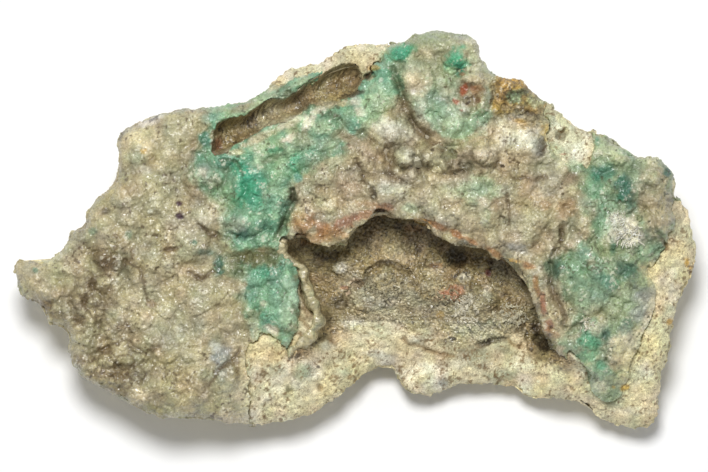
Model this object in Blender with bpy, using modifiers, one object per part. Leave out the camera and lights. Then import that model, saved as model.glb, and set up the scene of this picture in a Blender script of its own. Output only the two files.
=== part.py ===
"""A hand-sized specimen of aurichalcite: mineral crusts on a block of host rock.

The block rests on a flat parting face, and its crusted face leans back a little from
level. Everything on that face is set out in face coordinates: x to the right, y up the
face, and a height above the face plane. One empty, "face", carries that plane, and all
the pieces hang from it.

Every piece is made in the same three steps. An outline is extruded to a slab and
remeshed to even quads. The slab is draped, so that its top and underside take their
heights from the functions below. Then it is thinned to a faceted solid. The host rock
and the crusts are last cut back from one another, so that each seat has a fine gap.
"""

import math
from typing import NamedTuple

import bmesh
import bpy
import numpy as np
from mathutils import Matrix

# All sizes are in millimetres, and MM turns them to metres where a mesh is made.
MM = 0.001

# How the block stands: the face's lean, the height of its origin over the base, and
# where that origin lies, so that the box is centred over the world's origin.
FACE_LEAN = math.radians(12.0)
FACE_HEIGHT = 28.0
FACE_ORIGIN_X = -0.046
FACE_ORIGIN_Y = -3.253

# The gap between pieces that were cut to fit. The host rock's bed under them all is cut
# a little wider, from even quads of this size, and has this many facets.
SEAT_GAP = 0.3
BED_SLACK, BED_VOXEL, BED_FACETS = 0.3, 0.45, 3400

# The silhouette of the face, clockwise from the left tip.
OUTLINE = [
    (-68.0, -6.8), (-66.8, -5.0), (-62.4, -5.4), (-58.8, -3.0), (-56.4, 0.8), (-54.0, 1.6),
    (-53.2, 4.8), (-50.8, 8.0), (-47.6, 10.8), (-47.0, 15.2), (-47.2, 19.2), (-45.4, 21.6),
    (-39.6, 24.0), (-37.2, 24.8), (-30.8, 25.6), (-23.2, 26.4), (-18.4, 28.2), (-14.2, 32.6),
    (-7.8, 34.2), (-2.8, 37.2), (1.2, 38.2), (9.2, 38.8), (12.8, 40.4), (18.8, 41.0),
    (24.0, 39.2), (25.8, 34.8), (27.6, 32.6), (30.2, 31.4), (33.4, 30.8), (37.2, 27.6),
    (41.6, 24.4), (45.8, 21.0), (50.8, 19.8), (53.2, 17.6), (56.6, 15.8), (60.4, 15.6),
    (64.0, 12.6), (64.0, 7.6), (66.6, 5.6), (68.4, -2.0), (67.8, -7.2), (65.4, -12.2),
    (63.4, -19.8), (63.6, -22.8), (61.4, -28.4), (61.0, -36.2), (57.6, -38.6), (50.8, -37.0),
    (44.6, -32.8), (35.2, -32.4), (31.8, -30.0), (20.8, -29.8), (15.8, -31.8), (10.8, -31.4),
    (7.4, -26.2), (2.4, -27.4), (-1.8, -30.8), (-6.8, -34.6), (-13.2, -37.0), (-22.8, -37.6),
    (-30.8, -36.4), (-38.8, -36.2), (-44.8, -33.4), (-51.2, -30.0), (-55.2, -27.4),
    (-57.2, -22.8), (-56.8, -20.2), (-58.4, -18.0), (-61.2, -17.2), (-63.2, -13.4),
    (-66.4, -12.0),
]

# The fields of the crusts. Where a field runs past the silhouette, the crust ends there.
LEFT_FIELD = [
    (-72.0, 0.8), (-59.6, 4.8), (-52.4, 15.2), (-50.8, 24.8), (-40.8, 27.6), (-30.8, 27.6),
    (-30.8, 23.2), (-31.6, 17.2), (-32.4, 12.8), (-29.8, 9.2), (-26.4, 6.2), (-25.6, 0.2),
    (-24.4, -5.2), (-22.8, -10.8), (-21.6, -16.4), (-21.2, -21.8), (-20.4, -29.8),
    (-21.6, -40.8), (-40.8, -39.2), (-58.8, -31.8), (-62.8, -19.8), (-71.6, -13.2),
]
BAND_FIELD = [
    (-31.2, 27.6), (-22.8, 28.4), (-18.4, 30.0), (-13.8, 30.4), (-9.8, 31.8), (-6.8, 33.4),
    (-7.8, 31.6), (-10.8, 28.8), (-13.8, 27.4), (-17.2, 27.2), (-21.8, 24.8), (-26.4, 23.6),
    (-28.4, 22.2), (-28.6, 19.2), (-28.0, 16.8), (-26.2, 16.4), (-22.8, 18.8), (-16.8, 22.2),
    (-11.8, 23.4), (-8.8, 25.8), (-1.8, 27.4), (1.2, 31.2), (3.6, 32.6), (6.8, 33.6),
    (8.6, 31.2), (8.8, 27.6), (6.0, 24.8), (3.2, 21.8), (-1.4, 20.2), (-2.6, 17.4),
    (-7.2, 15.4), (-9.4, 13.0), (-12.6, 8.2), (-13.0, 4.8), (-13.8, 0.8), (-15.2, -1.2),
    (-14.0, -4.0), (-11.4, -6.4), (-10.8, -8.8), (-11.2, -17.2), (-12.0, -20.4),
    (-14.0, -22.4), (-16.4, -20.4), (-20.4, -18.8), (-21.6, -16.4), (-22.8, -10.8),
    (-24.4, -5.2), (-25.6, 0.2), (-26.4, 6.2), (-29.8, 9.2), (-32.4, 12.8), (-31.6, 17.2),
    (-30.8, 23.2),
]
HOOD_FIELD = [
    (-12.2, 7.8), (-9.0, 12.6), (-7.0, 15.0), (-2.2, 17.0), (-1.0, 19.8), (3.6, 21.4),
    (6.4, 24.4), (8.0, 25.2), (11.6, 22.0), (15.2, 18.8), (20.4, 15.6), (21.8, 17.8),
    (26.8, 21.6), (28.0, 24.4), (29.2, 25.6), (31.6, 24.4), (33.6, 22.2), (38.2, 21.0),
    (39.6, 17.6), (43.2, 12.8), (45.4, 11.0), (45.8, 7.2), (44.6, -0.4), (40.2, -4.0),
    (38.6, -6.0), (39.4, -8.6), (42.2, -14.6), (43.8, -19.8), (42.4, -22.0), (40.8, -22.8),
    (38.4, -20.4), (37.2, -17.2), (36.0, -12.8), (35.2, -9.6), (33.6, -7.2), (29.2, -5.0),
    (26.4, -2.8), (23.6, -1.4), (18.2, 0.2), (13.2, 3.2), (8.2, 4.0), (5.6, 4.8), (3.6, 3.8),
    (-1.0, 0.8), (-1.6, -1.0), (-3.2, -2.2), (-5.8, -2.4), (-8.4, -1.6), (-10.4, -0.2),
    (-11.6, 0.0), (-12.6, 5.2),
]
CROWN_FIELD = [
    (9.4, 30.4), (7.8, 33.2), (4.8, 34.4), (6.0, 37.6), (8.2, 40.4), (11.2, 42.4), (19.2, 43.2),
    (26.0, 41.2), (28.0, 35.2), (27.6, 30.4), (27.8, 27.2), (26.4, 22.6), (22.4, 19.0),
    (20.4, 17.6), (18.4, 18.2), (13.6, 21.6), (10.2, 26.4),
]
FLANK_FIELD = [
    (48.0, 21.6), (48.0, 18.4), (45.6, 11.6), (46.2, 7.2), (45.0, -0.8), (42.6, -2.4),
    (40.6, -4.4), (39.0, -6.2), (39.8, -8.6), (42.6, -14.6), (44.2, -20.0), (43.0, -22.4),
    (46.0, -26.6), (49.2, -31.6), (52.0, -32.2), (53.6, -30.6), (55.4, -24.0), (57.8, -21.0),
    (60.2, -13.2), (60.6, -10.2), (58.4, -5.6), (61.2, -4.8), (64.6, 2.4), (64.4, 6.0),
    (67.2, 9.2), (66.8, 15.2), (61.2, 18.0), (55.6, 19.6), (51.6, 22.0),
]
RUST_FIELD = [
    (27.8, 32.8), (30.2, 32.4), (34.0, 32.2), (36.8, 29.4), (38.8, 26.2), (38.4, 23.6),
    (37.2, 22.0), (34.8, 22.0), (32.4, 23.2), (31.6, 25.2), (29.2, 26.2), (28.0, 28.0),
]
TROUGH = [
    (-28.4, 22.2), (-26.4, 23.6), (-21.8, 24.8), (-17.2, 27.2), (-13.8, 27.4), (-10.8, 28.8),
    (-7.8, 31.6), (-5.8, 33.6), (-1.8, 34.6), (0.8, 33.6), (1.2, 31.2), (-1.8, 27.4),
    (-8.8, 25.8), (-11.8, 23.4), (-16.8, 22.2), (-22.8, 18.8), (-26.2, 16.4), (-28.0, 16.8),
    (-28.6, 19.2),
]

# The vug: its back wall lies under the hood's lip, and its front is broken open.
VUG = [
    (-14.0, -1.6), (-12.6, 0.2), (-10.8, 1.6), (-8.4, 0.8), (-5.8, 0.0), (-3.8, 0.6),
    (-2.8, 2.8), (-0.4, 4.8), (3.2, 6.4), (6.2, 7.6), (11.6, 6.2), (14.2, 5.6), (17.2, 3.6),
    (22.4, 1.4), (28.0, -1.2), (33.6, -4.0), (36.0, -5.2), (37.8, -8.0), (38.4, -11.8),
    (39.4, -14.8), (42.8, -20.4), (43.6, -24.0), (42.0, -44.0), (4.0, -44.0), (-6.0, -34.0),
    (-12.0, -24.4), (-9.2, -19.8), (-8.0, -16.8), (-10.0, -13.6), (-11.2, -10.0),
    (-11.6, -6.8), (-13.8, -4.6),
]
VUG_DRUSE_FIELD = [
    (-16.0, 10.0), (45.0, 10.0), (46.0, -25.0), (41.0, -25.2), (36.2, -23.2), (30.2, -20.4),
    (23.2, -22.8), (15.2, -19.8), (6.2, -16.6), (-1.8, -18.8), (-7.2, -21.8), (-10.2, -24.6),
    (-16.0, -24.0),
]
CURLED_SHELL_PATH = [
    (-15.0, -0.8), (-14.2, -3.6), (-12.6, -5.2), (-10.6, -6.4), (-9.8, -9.6), (-9.0, -12.4),
    (-7.6, -14.8), (-7.2, -17.2), (-8.4, -19.6), (-10.4, -21.2), (-12.6, -22.8), (-13.4, -24.2),
]

# The broad form of the face: centre x, y, radii, turn in degrees, rise at the centre.
SWELLS = {
    "hood": (18.0, 8.0, 26.0, 13.0, -12.0, 4.0),
    "crown": (20.0, 28.0, 10.0, 10.0, 0.0, 3.5),
    "band": (-20.0, 8.0, 9.0, 13.0, 0.0, 1.4),
    "arm": (1.0, 25.0, 12.0, 5.0, 35.0, 1.6),
    "flank": (47.0, -8.0, 8.0, 15.0, 10.0, 2.0),
    "left_tip": (-68.0, -8.0, 17.0, 13.0, 0.0, -6.0),
    "lower_left": (-55.0, -28.0, 17.0, 13.0, 40.0, -4.0),
    "upper_left": (-47.0, 21.0, 13.0, 10.0, 0.0, -2.5),
    "lower_right": (58.0, -36.0, 20.0, 13.0, 0.0, -4.5),
    "right_edge": (69.0, 0.0, 11.0, 24.0, 0.0, -4.5),
    "upper_right": (46.0, 19.0, 12.0, 8.0, -35.0, -2.5),
}

# How the face rolls over at its edge: a narrow roll everywhere, and broad broken bevels.
# Each bevel has its centre, its radii, and what it adds to the roll's width and drop.
ROLL_WIDTH, ROLL_DROP = 3.0, 3.6
BEVELS = {
    "front_left": (-14.0, -34.0, 14.0, 15.0, 12.0, 6.5),
    "front": (16.0, -30.0, 26.0, 9.0, 5.0, 2.5),
    "front_right": (50.0, -36.0, 18.0, 14.0, 8.0, 5.0),
    "right": (67.0, -8.0, 7.0, 20.0, 5.0, 6.0),
    "top": (-4.0, 38.0, 14.0, 8.0, 2.0, 2.0),
}

# The vug's floor, the widths over which its wall rises, and the trough's section.
VUG_FLOOR, VUG_WALL, VUG_FRONT_WALL = -9.0, 3.2, 11.0
FRONT_FROM, FRONT_TO = -17.0, -27.0
FLOOR_SWELLS = {
    "under_lip": (18.0, -2.0, 22.0, 7.0, -18.0, -4.0),
    "left_pocket": (-5.0, -12.0, 6.0, 9.0, 0.0, -1.8),
    "right_pocket": (37.0, -20.0, 5.0, 5.0, 0.0, -3.0),
    "floor_ridge": (8.0, -11.0, 8.0, 5.0, 25.0, 2.2),
    "floor_step": (25.0, -12.0, 7.0, 5.0, -20.0, 2.0),
    "front_apron": (16.0, -28.0, 22.0, 6.0, 0.0, -1.5),
}
TROUGH_DEPTH, TROUGH_WALL = 6.0, 2.4

# Botryoidal lobes that show from a step away: centre x, y, radii, turn, rise.
LEFT_LOBES = [
    (-37.6, 17.0, 5.2, 4.6, 0.0, 1.0), (-42.6, 7.0, 6.6, 5.4, 20.0, 1.0),
    (-50.8, 0.6, 4.2, 3.6, 0.0, 0.9), (-40.8, -6.0, 5.0, 5.4, 0.0, 1.1),
    (-60.4, -9.6, 5.0, 3.4, 10.0, 0.9), (-53.0, -14.0, 3.4, 4.4, 0.0, 0.9),
    (-44.8, -15.6, 5.2, 4.0, 0.0, 1.2), (-45.2, -23.0, 4.0, 3.2, 0.0, 1.1),
    (-34.0, -28.6, 6.8, 6.0, 0.0, 1.2), (-26.2, -28.8, 3.2, 4.0, 0.0, 1.0),
    (-31.0, -14.0, 5.6, 5.2, 0.0, 1.0), (-33.4, 0.8, 4.8, 6.4, 0.0, 0.9),
    (-30.8, 10.6, 3.2, 3.4, 0.0, 1.0), (-50.6, -27.6, 4.6, 3.2, -25.0, 0.8),
]
HOOD_LOBES = [
    (6.6, 21.4, 4.4, 3.6, 0.0, 2.2), (10.4, 16.8, 2.6, 3.2, 0.0, 2.6),
    (15.6, 16.8, 3.0, 3.0, 0.0, 2.4), (19.4, 15.0, 2.6, 2.8, 0.0, 2.0),
    (1.6, 15.4, 4.2, 4.6, 0.0, 1.6), (-5.4, 11.4, 4.6, 4.0, 20.0, 1.4),
    (5.4, 10.6, 3.4, 5.6, 15.0, 1.5), (12.6, 9.8, 4.8, 4.2, 0.0, 1.2),
    (24.8, 16.0, 4.0, 4.4, 0.0, 2.6), (24.6, 9.6, 4.6, 3.8, 0.0, 1.7),
    (34.8, 18.2, 4.6, 4.4, 0.0, 2.8), (32.6, 10.6, 4.6, 4.2, 0.0, 1.5),
    (27.2, 5.2, 2.8, 3.6, -10.0, 1.8), (38.8, 6.0, 5.2, 5.4, 0.0, 1.4),
    (18.6, 5.4, 4.0, 3.8, 0.0, 1.3), (33.0, 1.4, 4.8, 4.4, 0.0, 1.6),
    (39.6, -13.0, 2.8, 6.4, 20.0, 1.6), (-6.4, 2.6, 5.0, 2.8, 10.0, 0.9),
]
CROWN_LOBES = [
    (12.6, 30.8, 3.8, 4.8, 10.0, 2.4), (14.2, 24.6, 2.8, 3.8, 25.0, 1.8),
    (23.2, 28.2, 4.6, 4.8, 0.0, 2.8), (19.6, 22.6, 5.2, 4.6, 0.0, 1.8),
    (10.2, 37.2, 3.8, 2.4, 10.0, 1.6), (20.6, 36.6, 3.6, 3.4, 0.0, 2.0),
    (15.6, 37.6, 3.0, 2.4, 0.0, 1.4), (24.0, 37.0, 2.6, 2.6, 0.0, 1.4),
]
BAND_LOBES = [
    (-20.2, 9.6, 4.4, 5.6, 0.0, 1.6), (-14.4, 9.2, 3.0, 3.4, 0.0, 1.2),
    (-21.6, 3.2, 4.2, 3.4, 0.0, 1.1), (-14.0, -12.6, 3.4, 6.8, 5.0, 1.5),
    (-19.4, -15.2, 3.0, 3.6, 0.0, 0.9), (-19.0, -7.0, 3.6, 4.0, 0.0, 0.8),
    (5.8, 28.0, 3.2, 4.4, -25.0, 2.0), (1.0, 23.8, 3.6, 3.0, 0.0, 1.4),
    (-6.0, 20.2, 4.2, 3.2, 20.0, 1.3), (-13.2, 18.6, 4.8, 2.8, 25.0, 1.4),
    (-29.4, 13.0, 2.4, 3.4, 0.0, 1.2), (-6.0, 23.4, 5.6, 1.8, 30.0, 1.4),
]
FLANK_LOBES = [
    (47.0, -8.8, 5.2, 7.0, 0.0, 2.0), (46.8, 5.8, 3.6, 7.0, 0.0, 1.1),
    (53.4, 8.8, 4.2, 4.6, 0.0, 1.3), (60.0, 9.4, 4.4, 4.2, 0.0, 1.5),
    (60.8, 2.2, 4.0, 4.0, 0.0, 1.6), (54.6, 0.2, 4.4, 4.0, 0.0, 1.2),
    (53.8, -7.8, 4.4, 4.8, 0.0, 1.2), (56.6, -12.6, 3.6, 3.6, 0.0, 1.2),
    (47.2, -20.6, 3.4, 4.4, 0.0, 1.2), (52.6, -18.6, 3.2, 5.0, 0.0, 1.3),
    (49.2, -27.2, 3.2, 3.8, 0.0, 1.0), (53.2, 15.8, 4.4, 2.4, -20.0, 1.0),
]
RUST_LOBES = [
    (30.0, 29.8, 2.2, 2.6, 0.0, 1.4), (33.2, 28.4, 2.4, 2.6, 0.0, 1.5),
    (34.6, 24.4, 2.6, 1.8, 0.0, 1.0),
]

# How crusts roll off at their own edge, their small knobs, and what lies under them.
EDGE_ROLL_WIDTH, EDGE_ROLL_DROP = 2.2, 0.9
KNOB_HEIGHT = 0.7
HOST_BELOW_CRUST, HOST_BELOW_DRUSE = 1.2, 0.8
THINNEST = 0.4
DRUSE_THICKNESS, DRUSE_STEEPEST = 1.5, 2.2

# The curled shell's wall, and the height of the strip that it is bent from.
SHELL_WALL, SHELL_STRIP = 1.3, 8.0

# A narrow cleft parts the crown from the hood and the band below it.
CLEFT_DEPTH, CLEFT_WIDTH, CLEFT_TOP = 3.0, 2.2, 31.0

# The block under the face: its slab's height before draping, and its facets. Its broken
# sides lean in towards the base, with ledges and chips.
HOST_SLAB, HOST_FACETS = 24.0, 2200
SIDE_LEAN, SIDE_LEDGE, SIDE_CHIPS = 6.0, 2.6, 1.8

# The colour of each mineral, as linear numbers, and its roughness.
MINERALS = {
    "chalky_rock": ((0.56, 0.50, 0.33), 0.9),
    "hemimorphite": ((0.36, 0.33, 0.25), 0.6),
    "aurichalcite": ((0.13, 0.36, 0.27), 0.6),
    "brown_druse": ((0.13, 0.10, 0.06), 0.6),
    "limonite": ((0.36, 0.19, 0.05), 0.8),
}


class Crust(NamedTuple):
    """A crust over a field: its lobes, its knobs' spacing, its thickness and its facets."""

    field: list
    domes: list
    knob_cell: float
    thickness: float
    facets: int
    mineral: str


CRUSTS = {
    "crown_crust": Crust(CROWN_FIELD, CROWN_LOBES, 3.2, 4.5, 420, "hemimorphite"),
    "hood_crust": Crust(HOOD_FIELD, HOOD_LOBES, 3.4, 4.5, 900, "hemimorphite"),
    "aurichalcite_flank": Crust(FLANK_FIELD, FLANK_LOBES, 3.2, 4.0, 600, "aurichalcite"),
    "aurichalcite_band": Crust(BAND_FIELD, BAND_LOBES, 3.2, 4.0, 600, "aurichalcite"),
    "left_crust": Crust(LEFT_FIELD, LEFT_LOBES, 4.2, 4.0, 700, "hemimorphite"),
    "limonite_knobs": Crust(RUST_FIELD, RUST_LOBES, 2.2, 3.0, 130, "limonite"),
}


# Plane geometry in face coordinates


def smoothstep(value, low, high):
    """0 below low, 1 above high, and an S-shaped rise between them."""
    t = np.clip((value - low) / (high - low), 0.0, 1.0)
    return t * t * (3.0 - 2.0 * t)


def rounded(outline, steps=3):
    """A closed Catmull-Rom curve through the outline's points, as an array."""
    p1 = np.array(outline, float)
    p0, p2, p3 = np.roll(p1, 1, 0), np.roll(p1, -1, 0), np.roll(p1, -2, 0)
    rows = []
    for step in range(steps):
        t = step / steps
        rows.append(
            0.5
            * (
                2 * p1
                + (p2 - p0) * t
                + (2 * p0 - 5 * p1 + 4 * p2 - p3) * t**2
                + (3 * p1 - p0 - 3 * p2 + p3) * t**3
            )
        )
    return np.stack(rows, 1).reshape(-1, 2)


def inside_distance(outline, x, y):
    """Distance from each point to the rounded outline, positive inside it."""
    a = rounded(outline)
    b = np.roll(a, -1, 0)
    nearest = np.full(x.shape, np.inf)
    inside = np.zeros(x.shape, bool)
    for (ax, ay), (bx, by) in zip(a, b):
        dx, dy = bx - ax, by - ay
        t = np.clip(((x - ax) * dx + (y - ay) * dy) / (dx * dx + dy * dy), 0.0, 1.0)
        nearest = np.minimum(nearest, np.hypot(x - ax - t * dx, y - ay - t * dy))
        crosses = (ay > y) != (by > y)
        rise = dy if dy else 1.0
        inside ^= crosses & (x < ax + (y - ay) * dx / rise)
    return np.where(inside, nearest, -nearest)


def turned(x, y, centre_x, centre_y, radius_x, radius_y, turn):
    """Distance from an ellipse's centre, where 1 is on the ellipse."""
    angle = math.radians(turn)
    across = (x - centre_x) * math.cos(angle) + (y - centre_y) * math.sin(angle)
    along = (y - centre_y) * math.cos(angle) - (x - centre_x) * math.sin(angle)
    return np.hypot(across / radius_x, along / radius_y)


def swell(x, y, swells):
    """The sum of broad bell-shaped rises."""
    total = np.zeros(x.shape)
    for *ellipse, rise in swells.values():
        total += rise * np.exp(-turned(x, y, *ellipse) ** 2)
    return total


def lobes(x, y, domes):
    """The highest of the domes over each point, 0 between them."""
    top = np.zeros(x.shape)
    for *ellipse, rise in domes:
        r = np.minimum(turned(x, y, *ellipse), 1.0)
        top = np.maximum(top, rise * np.sqrt(1.0 - r * r))
    return top


# Seeded noise, the same on every run


def lattice(column, row, seed):
    """A repeatable number from 0 to 1 for each whole lattice point."""
    n = (column.astype(np.int64) * 374761393 + row.astype(np.int64) * 668265263) + seed * 982451653
    n = (n ^ (n >> 13)) * 1274126177 & 0x7FFFFFFF
    return ((n ^ (n >> 16)) & 0xFFFFFF) / float(0xFFFFFF)


def rolling(x, y, cell, seed):
    """Smooth noise from -1 to 1, with hills about a cell apart."""
    u, v = x / cell, y / cell
    column, row = np.floor(u), np.floor(v)
    fu, fv = smoothstep(u - column, 0, 1), smoothstep(v - row, 0, 1)
    low = lattice(column, row, seed) * (1 - fu) + lattice(column + 1, row, seed) * fu
    high = lattice(column, row + 1, seed) * (1 - fu) + lattice(column + 1, row + 1, seed) * fu
    return 2.0 * (low * (1 - fv) + high * fv) - 1.0


def knobs(x, y, cell, seed):
    """Close-packed round knobs a cell apart: 1 on a knob's crest, 0 in the creases."""
    column, row = np.floor(x / cell), np.floor(y / cell)
    nearest = np.full(x.shape, np.inf)
    for across in (-1, 0, 1):
        for up in (-1, 0, 1):
            centre_x = (column + across + lattice(column + across, row + up, seed)) * cell
            centre_y = (row + up + lattice(column + across, row + up, seed + 7)) * cell
            nearest = np.minimum(nearest, np.hypot(x - centre_x, y - centre_y))
    r = np.minimum(nearest / (0.85 * cell), 1.0)
    return np.sqrt(1.0 - r * r)


# The heights of the face, in millimetres over the face plane


def edge_roll(distance, width, drop):
    """How far a surface has dropped at this distance inside its edge, as a quarter round."""
    q = 1.0 - np.clip(distance / width, 0.0, 1.0)
    return drop * (1.0 - np.sqrt(1.0 - q**2 * 0.98))


def ground(x, y):
    """The broad form of the face with its rolled and bevelled edge, without its hollows."""
    width, drop = np.full(x.shape, ROLL_WIDTH), np.full(x.shape, ROLL_DROP)
    for centre_x, centre_y, radius_x, radius_y, more_width, more_drop in BEVELS.values():
        share = np.exp(-turned(x, y, centre_x, centre_y, radius_x, radius_y, 0.0) ** 4)
        width += share * more_width
        drop += share * more_drop
    level = swell(x, y, SWELLS) + 0.7 * rolling(x, y, 14.0, 3)
    return level - edge_roll(inside_distance(OUTLINE, x, y), width, drop)


def open_face(x, y):
    """The face with its two hollows in it: the vug and the trough."""
    level = ground(x, y)
    floor = VUG_FLOOR + swell(x, y, FLOOR_SWELLS) + 0.6 * rolling(x, y, 5.0, 11)
    front = smoothstep(y, FRONT_FROM, FRONT_TO)
    wall = VUG_WALL + (VUG_FRONT_WALL - VUG_WALL) * front
    in_vug = smoothstep(inside_distance(VUG, x, y) / wall, 0.0, 1.0)
    edge = edge_roll(inside_distance(OUTLINE, x, y), 6.0, 4.0)
    level = level + (np.minimum(floor - edge, level) - level) * in_vug
    in_trough = edge_roll(inside_distance(TROUGH, x, y), TROUGH_WALL, 1.0)
    return level - TROUGH_DEPTH * (1.0 - in_trough)


def host_top(x, y):
    """The host rock's own skin: the open face, set back where a crust or druse covers it."""
    cover = np.zeros(x.shape)
    for field in (LEFT_FIELD, BAND_FIELD, HOOD_FIELD, CROWN_FIELD, FLANK_FIELD, RUST_FIELD):
        cover = np.maximum(cover, smoothstep(inside_distance(field, x, y), -0.5, 1.5))
    druse = smoothstep(inside_distance(TROUGH, x, y), -0.6, 0.6)
    in_vug = np.minimum(inside_distance(VUG, x, y), inside_distance(VUG_DRUSE_FIELD, x, y))
    druse = np.maximum(druse, smoothstep(in_vug, -0.6, 0.6))
    near_crown = 1.0 - smoothstep(np.abs(inside_distance(CROWN_FIELD, x, y)), 0.3, CLEFT_WIDTH)
    cleft = CLEFT_DEPTH * near_crown * smoothstep(y, CLEFT_TOP + 2.0, CLEFT_TOP)
    rough = 0.5 * rolling(x, y, 4.0, 21) + 0.25 * rolling(x, y, 1.9, 22)
    return open_face(x, y) + rough - HOST_BELOW_CRUST * cover - HOST_BELOW_DRUSE * druse - cleft


def crust_top(crust, x, y):
    """A crust's skin: its lobes and knobs over the broad form, rolled off at its own edge."""
    edge = edge_roll(inside_distance(crust.field, x, y), EDGE_ROLL_WIDTH, EDGE_ROLL_DROP)
    rise = lobes(x, y, crust.domes) + KNOB_HEIGHT * knobs(x, y, crust.knob_cell, 5)
    return ground(x, y) + rise - edge


def druse_top(x, y):
    """The druse's skin: the open face, kept down inside the hood's body under its lip."""
    under_lip = np.where(inside_distance(HOOD_FIELD, x, y) > 0.5, ground(x, y) - 2.5, np.inf)
    return np.minimum(open_face(x, y) + 0.25 * rolling(x, y, 2.0, 41), under_lip)


def druse_underside(x, y):
    """The druse's seat, set deeper where it climbs a wall, so that it stays as thick."""
    step = 0.3
    across = open_face(x + step, y) - open_face(x - step, y)
    up = open_face(x, y + step) - open_face(x, y - step)
    slope = np.minimum(np.hypot(across, up) / (2.0 * step), DRUSE_STEEPEST)
    return druse_top(x, y) - DRUSE_THICKNESS * np.sqrt(1.0 + slope**2)


def shell_lip(x, y):
    """The curled shell's torn upper edge, which drops towards its front end."""
    return -2.2 - 0.10 * np.maximum(-6.0 - y, 0.0) + 0.8 * rolling(x, y, 3.0, 51)


def base_level(x, y):
    """Face heights that lie a little under the level base plane, so that a cut meets them."""
    below = 2.0
    return (-below - FACE_HEIGHT - y * math.sin(FACE_LEAN)) / math.cos(FACE_LEAN)


# Blender's side: slabs, draping, thinning and cutting


def clear_scene():
    """Removes whatever the startup scene holds."""
    for obj in list(bpy.data.objects):
        bpy.data.objects.remove(obj, do_unlink=True)


def collection(name):
    """A new collection in the scene."""
    made = bpy.data.collections.new(name)
    bpy.context.scene.collection.children.link(made)
    return made


def paint(obj, mineral):
    """Gives an object a material of its own, in the colour of its mineral."""
    colour, roughness = MINERALS[mineral]
    material = bpy.data.materials.new(obj.name + "_" + mineral)
    material.use_nodes = True
    shader = material.node_tree.nodes["Principled BSDF"]
    shader.inputs["Base Color"].default_value = (*colour, 1.0)
    shader.inputs["Roughness"].default_value = roughness
    shader.inputs["Metallic"].default_value = 0.0
    material.diffuse_color = (*colour, 1.0)
    obj.data.materials.clear()
    obj.data.materials.append(material)


def evaluated_mesh(obj):
    """A new mesh of the object as it stands with its modifiers."""
    graph = bpy.context.evaluated_depsgraph_get()
    return bpy.data.meshes.new_from_object(obj.evaluated_get(graph))


def settle(obj):
    """Puts the evaluated mesh in the place of the object's own, and clears its modifiers."""
    mesh = evaluated_mesh(obj)
    obj.modifiers.clear()
    old, obj.data = obj.data, mesh
    bpy.data.meshes.remove(old)


def prism(name, outline, height, home):
    """A closed solid of the rounded outline, from 0 up to the height, made from a flat curve."""
    curve = bpy.data.curves.new(name, "CURVE")
    curve.dimensions, curve.fill_mode = "2D", "BOTH"
    curve.extrude = height * MM / 2
    points = rounded(outline)
    spline = curve.splines.new("POLY")
    spline.points.add(len(points) - 1)
    spline.use_cyclic_u = True
    for point, (x, y) in zip(spline.points, points):
        point.co = (x * MM, y * MM, 0.0, 1.0)
    drawn = bpy.data.objects.new(name + "_outline", curve)
    home.objects.link(drawn)
    bpy.context.view_layer.update()
    mesh = evaluated_mesh(drawn)
    bpy.data.objects.remove(drawn)
    shape = bmesh.new()
    shape.from_mesh(mesh)
    bmesh.ops.remove_doubles(shape, verts=shape.verts, dist=1e-6)
    bmesh.ops.translate(shape, verts=shape.verts, vec=(0.0, 0.0, height * MM / 2))
    bmesh.ops.recalc_face_normals(shape, faces=shape.faces)
    shape.to_mesh(mesh)
    shape.free()
    solid = bpy.data.objects.new(name, mesh)
    home.objects.link(solid)
    return solid


def boolean(obj, other, operation):
    """Joins, cuts or intersects the object with another, at once."""
    modifier = obj.modifiers.new(operation.lower(), "BOOLEAN")
    modifier.operation, modifier.object = operation, other
    modifier.solver, modifier.use_self = "EXACT", True
    bpy.context.view_layer.update()
    settle(obj)


def slab(name, outlines, height, voxel, home):
    """The part that all the outlines share, as a slab of even quads."""
    solid = prism(name, outlines[0], height, home)
    for outline in outlines[1:]:
        other = prism(name + "_limit", outline, height * 3, home)
        other.location.z = -height * MM
        bpy.context.view_layer.update()
        boolean(solid, other, "INTERSECT")
        bpy.data.objects.remove(other)
    even_quads(solid, voxel)
    return solid


def even_quads(obj, voxel):
    """Remeshes an object to quads of one size."""
    remesh = obj.modifiers.new("even_quads", "REMESH")
    remesh.mode, remesh.voxel_size = "VOXEL", voxel * MM
    settle(obj)


def drape(obj, height, top, underside, taper=None):
    """Moves a slab's points so that its faces take the heights of top and underside."""
    points = np.empty(len(obj.data.vertices) * 3)
    obj.data.vertices.foreach_get("co", points)
    x, y, z = points.reshape(-1, 3).T / MM
    share = np.clip(z / height, 0.0, 1.0)
    if taper is not None:
        x, y = taper(x, y, share)
    low, high = underside(x, y), top(x, y)
    moved = np.stack([x, y, low + np.maximum(high - low, THINNEST) * share], 1) * MM
    obj.data.vertices.foreach_set("co", moved.ravel())
    obj.data.update()


def thin_out(obj, facets):
    """Collapses edges until about that many triangles are left."""
    obj.data.calc_loop_triangles()
    collapse = obj.modifiers.new("facets", "DECIMATE")
    collapse.ratio = min(1.0, facets / len(obj.data.loop_triangles))
    collapse.use_collapse_triangulate = True
    settle(obj)


def swollen(obj, gap, home):
    """A copy of a solid that stands a gap proud of it all round, for use as a cutter."""
    shape = bmesh.new()
    shape.from_mesh(obj.data)
    shape.normal_update()
    moves = [v.normal * gap * MM * min(v.calc_shell_factor(), 1.6) for v in shape.verts]
    for vertex, move in zip(shape.verts, moves):
        vertex.co += move
    mesh = bpy.data.meshes.new(obj.name + "_seat")
    shape.to_mesh(mesh)
    shape.free()
    cutter = bpy.data.objects.new(obj.name + "_seat", mesh)
    cutter.hide_render, cutter.display_type = True, "WIRE"
    home.objects.link(cutter)
    return cutter


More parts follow.
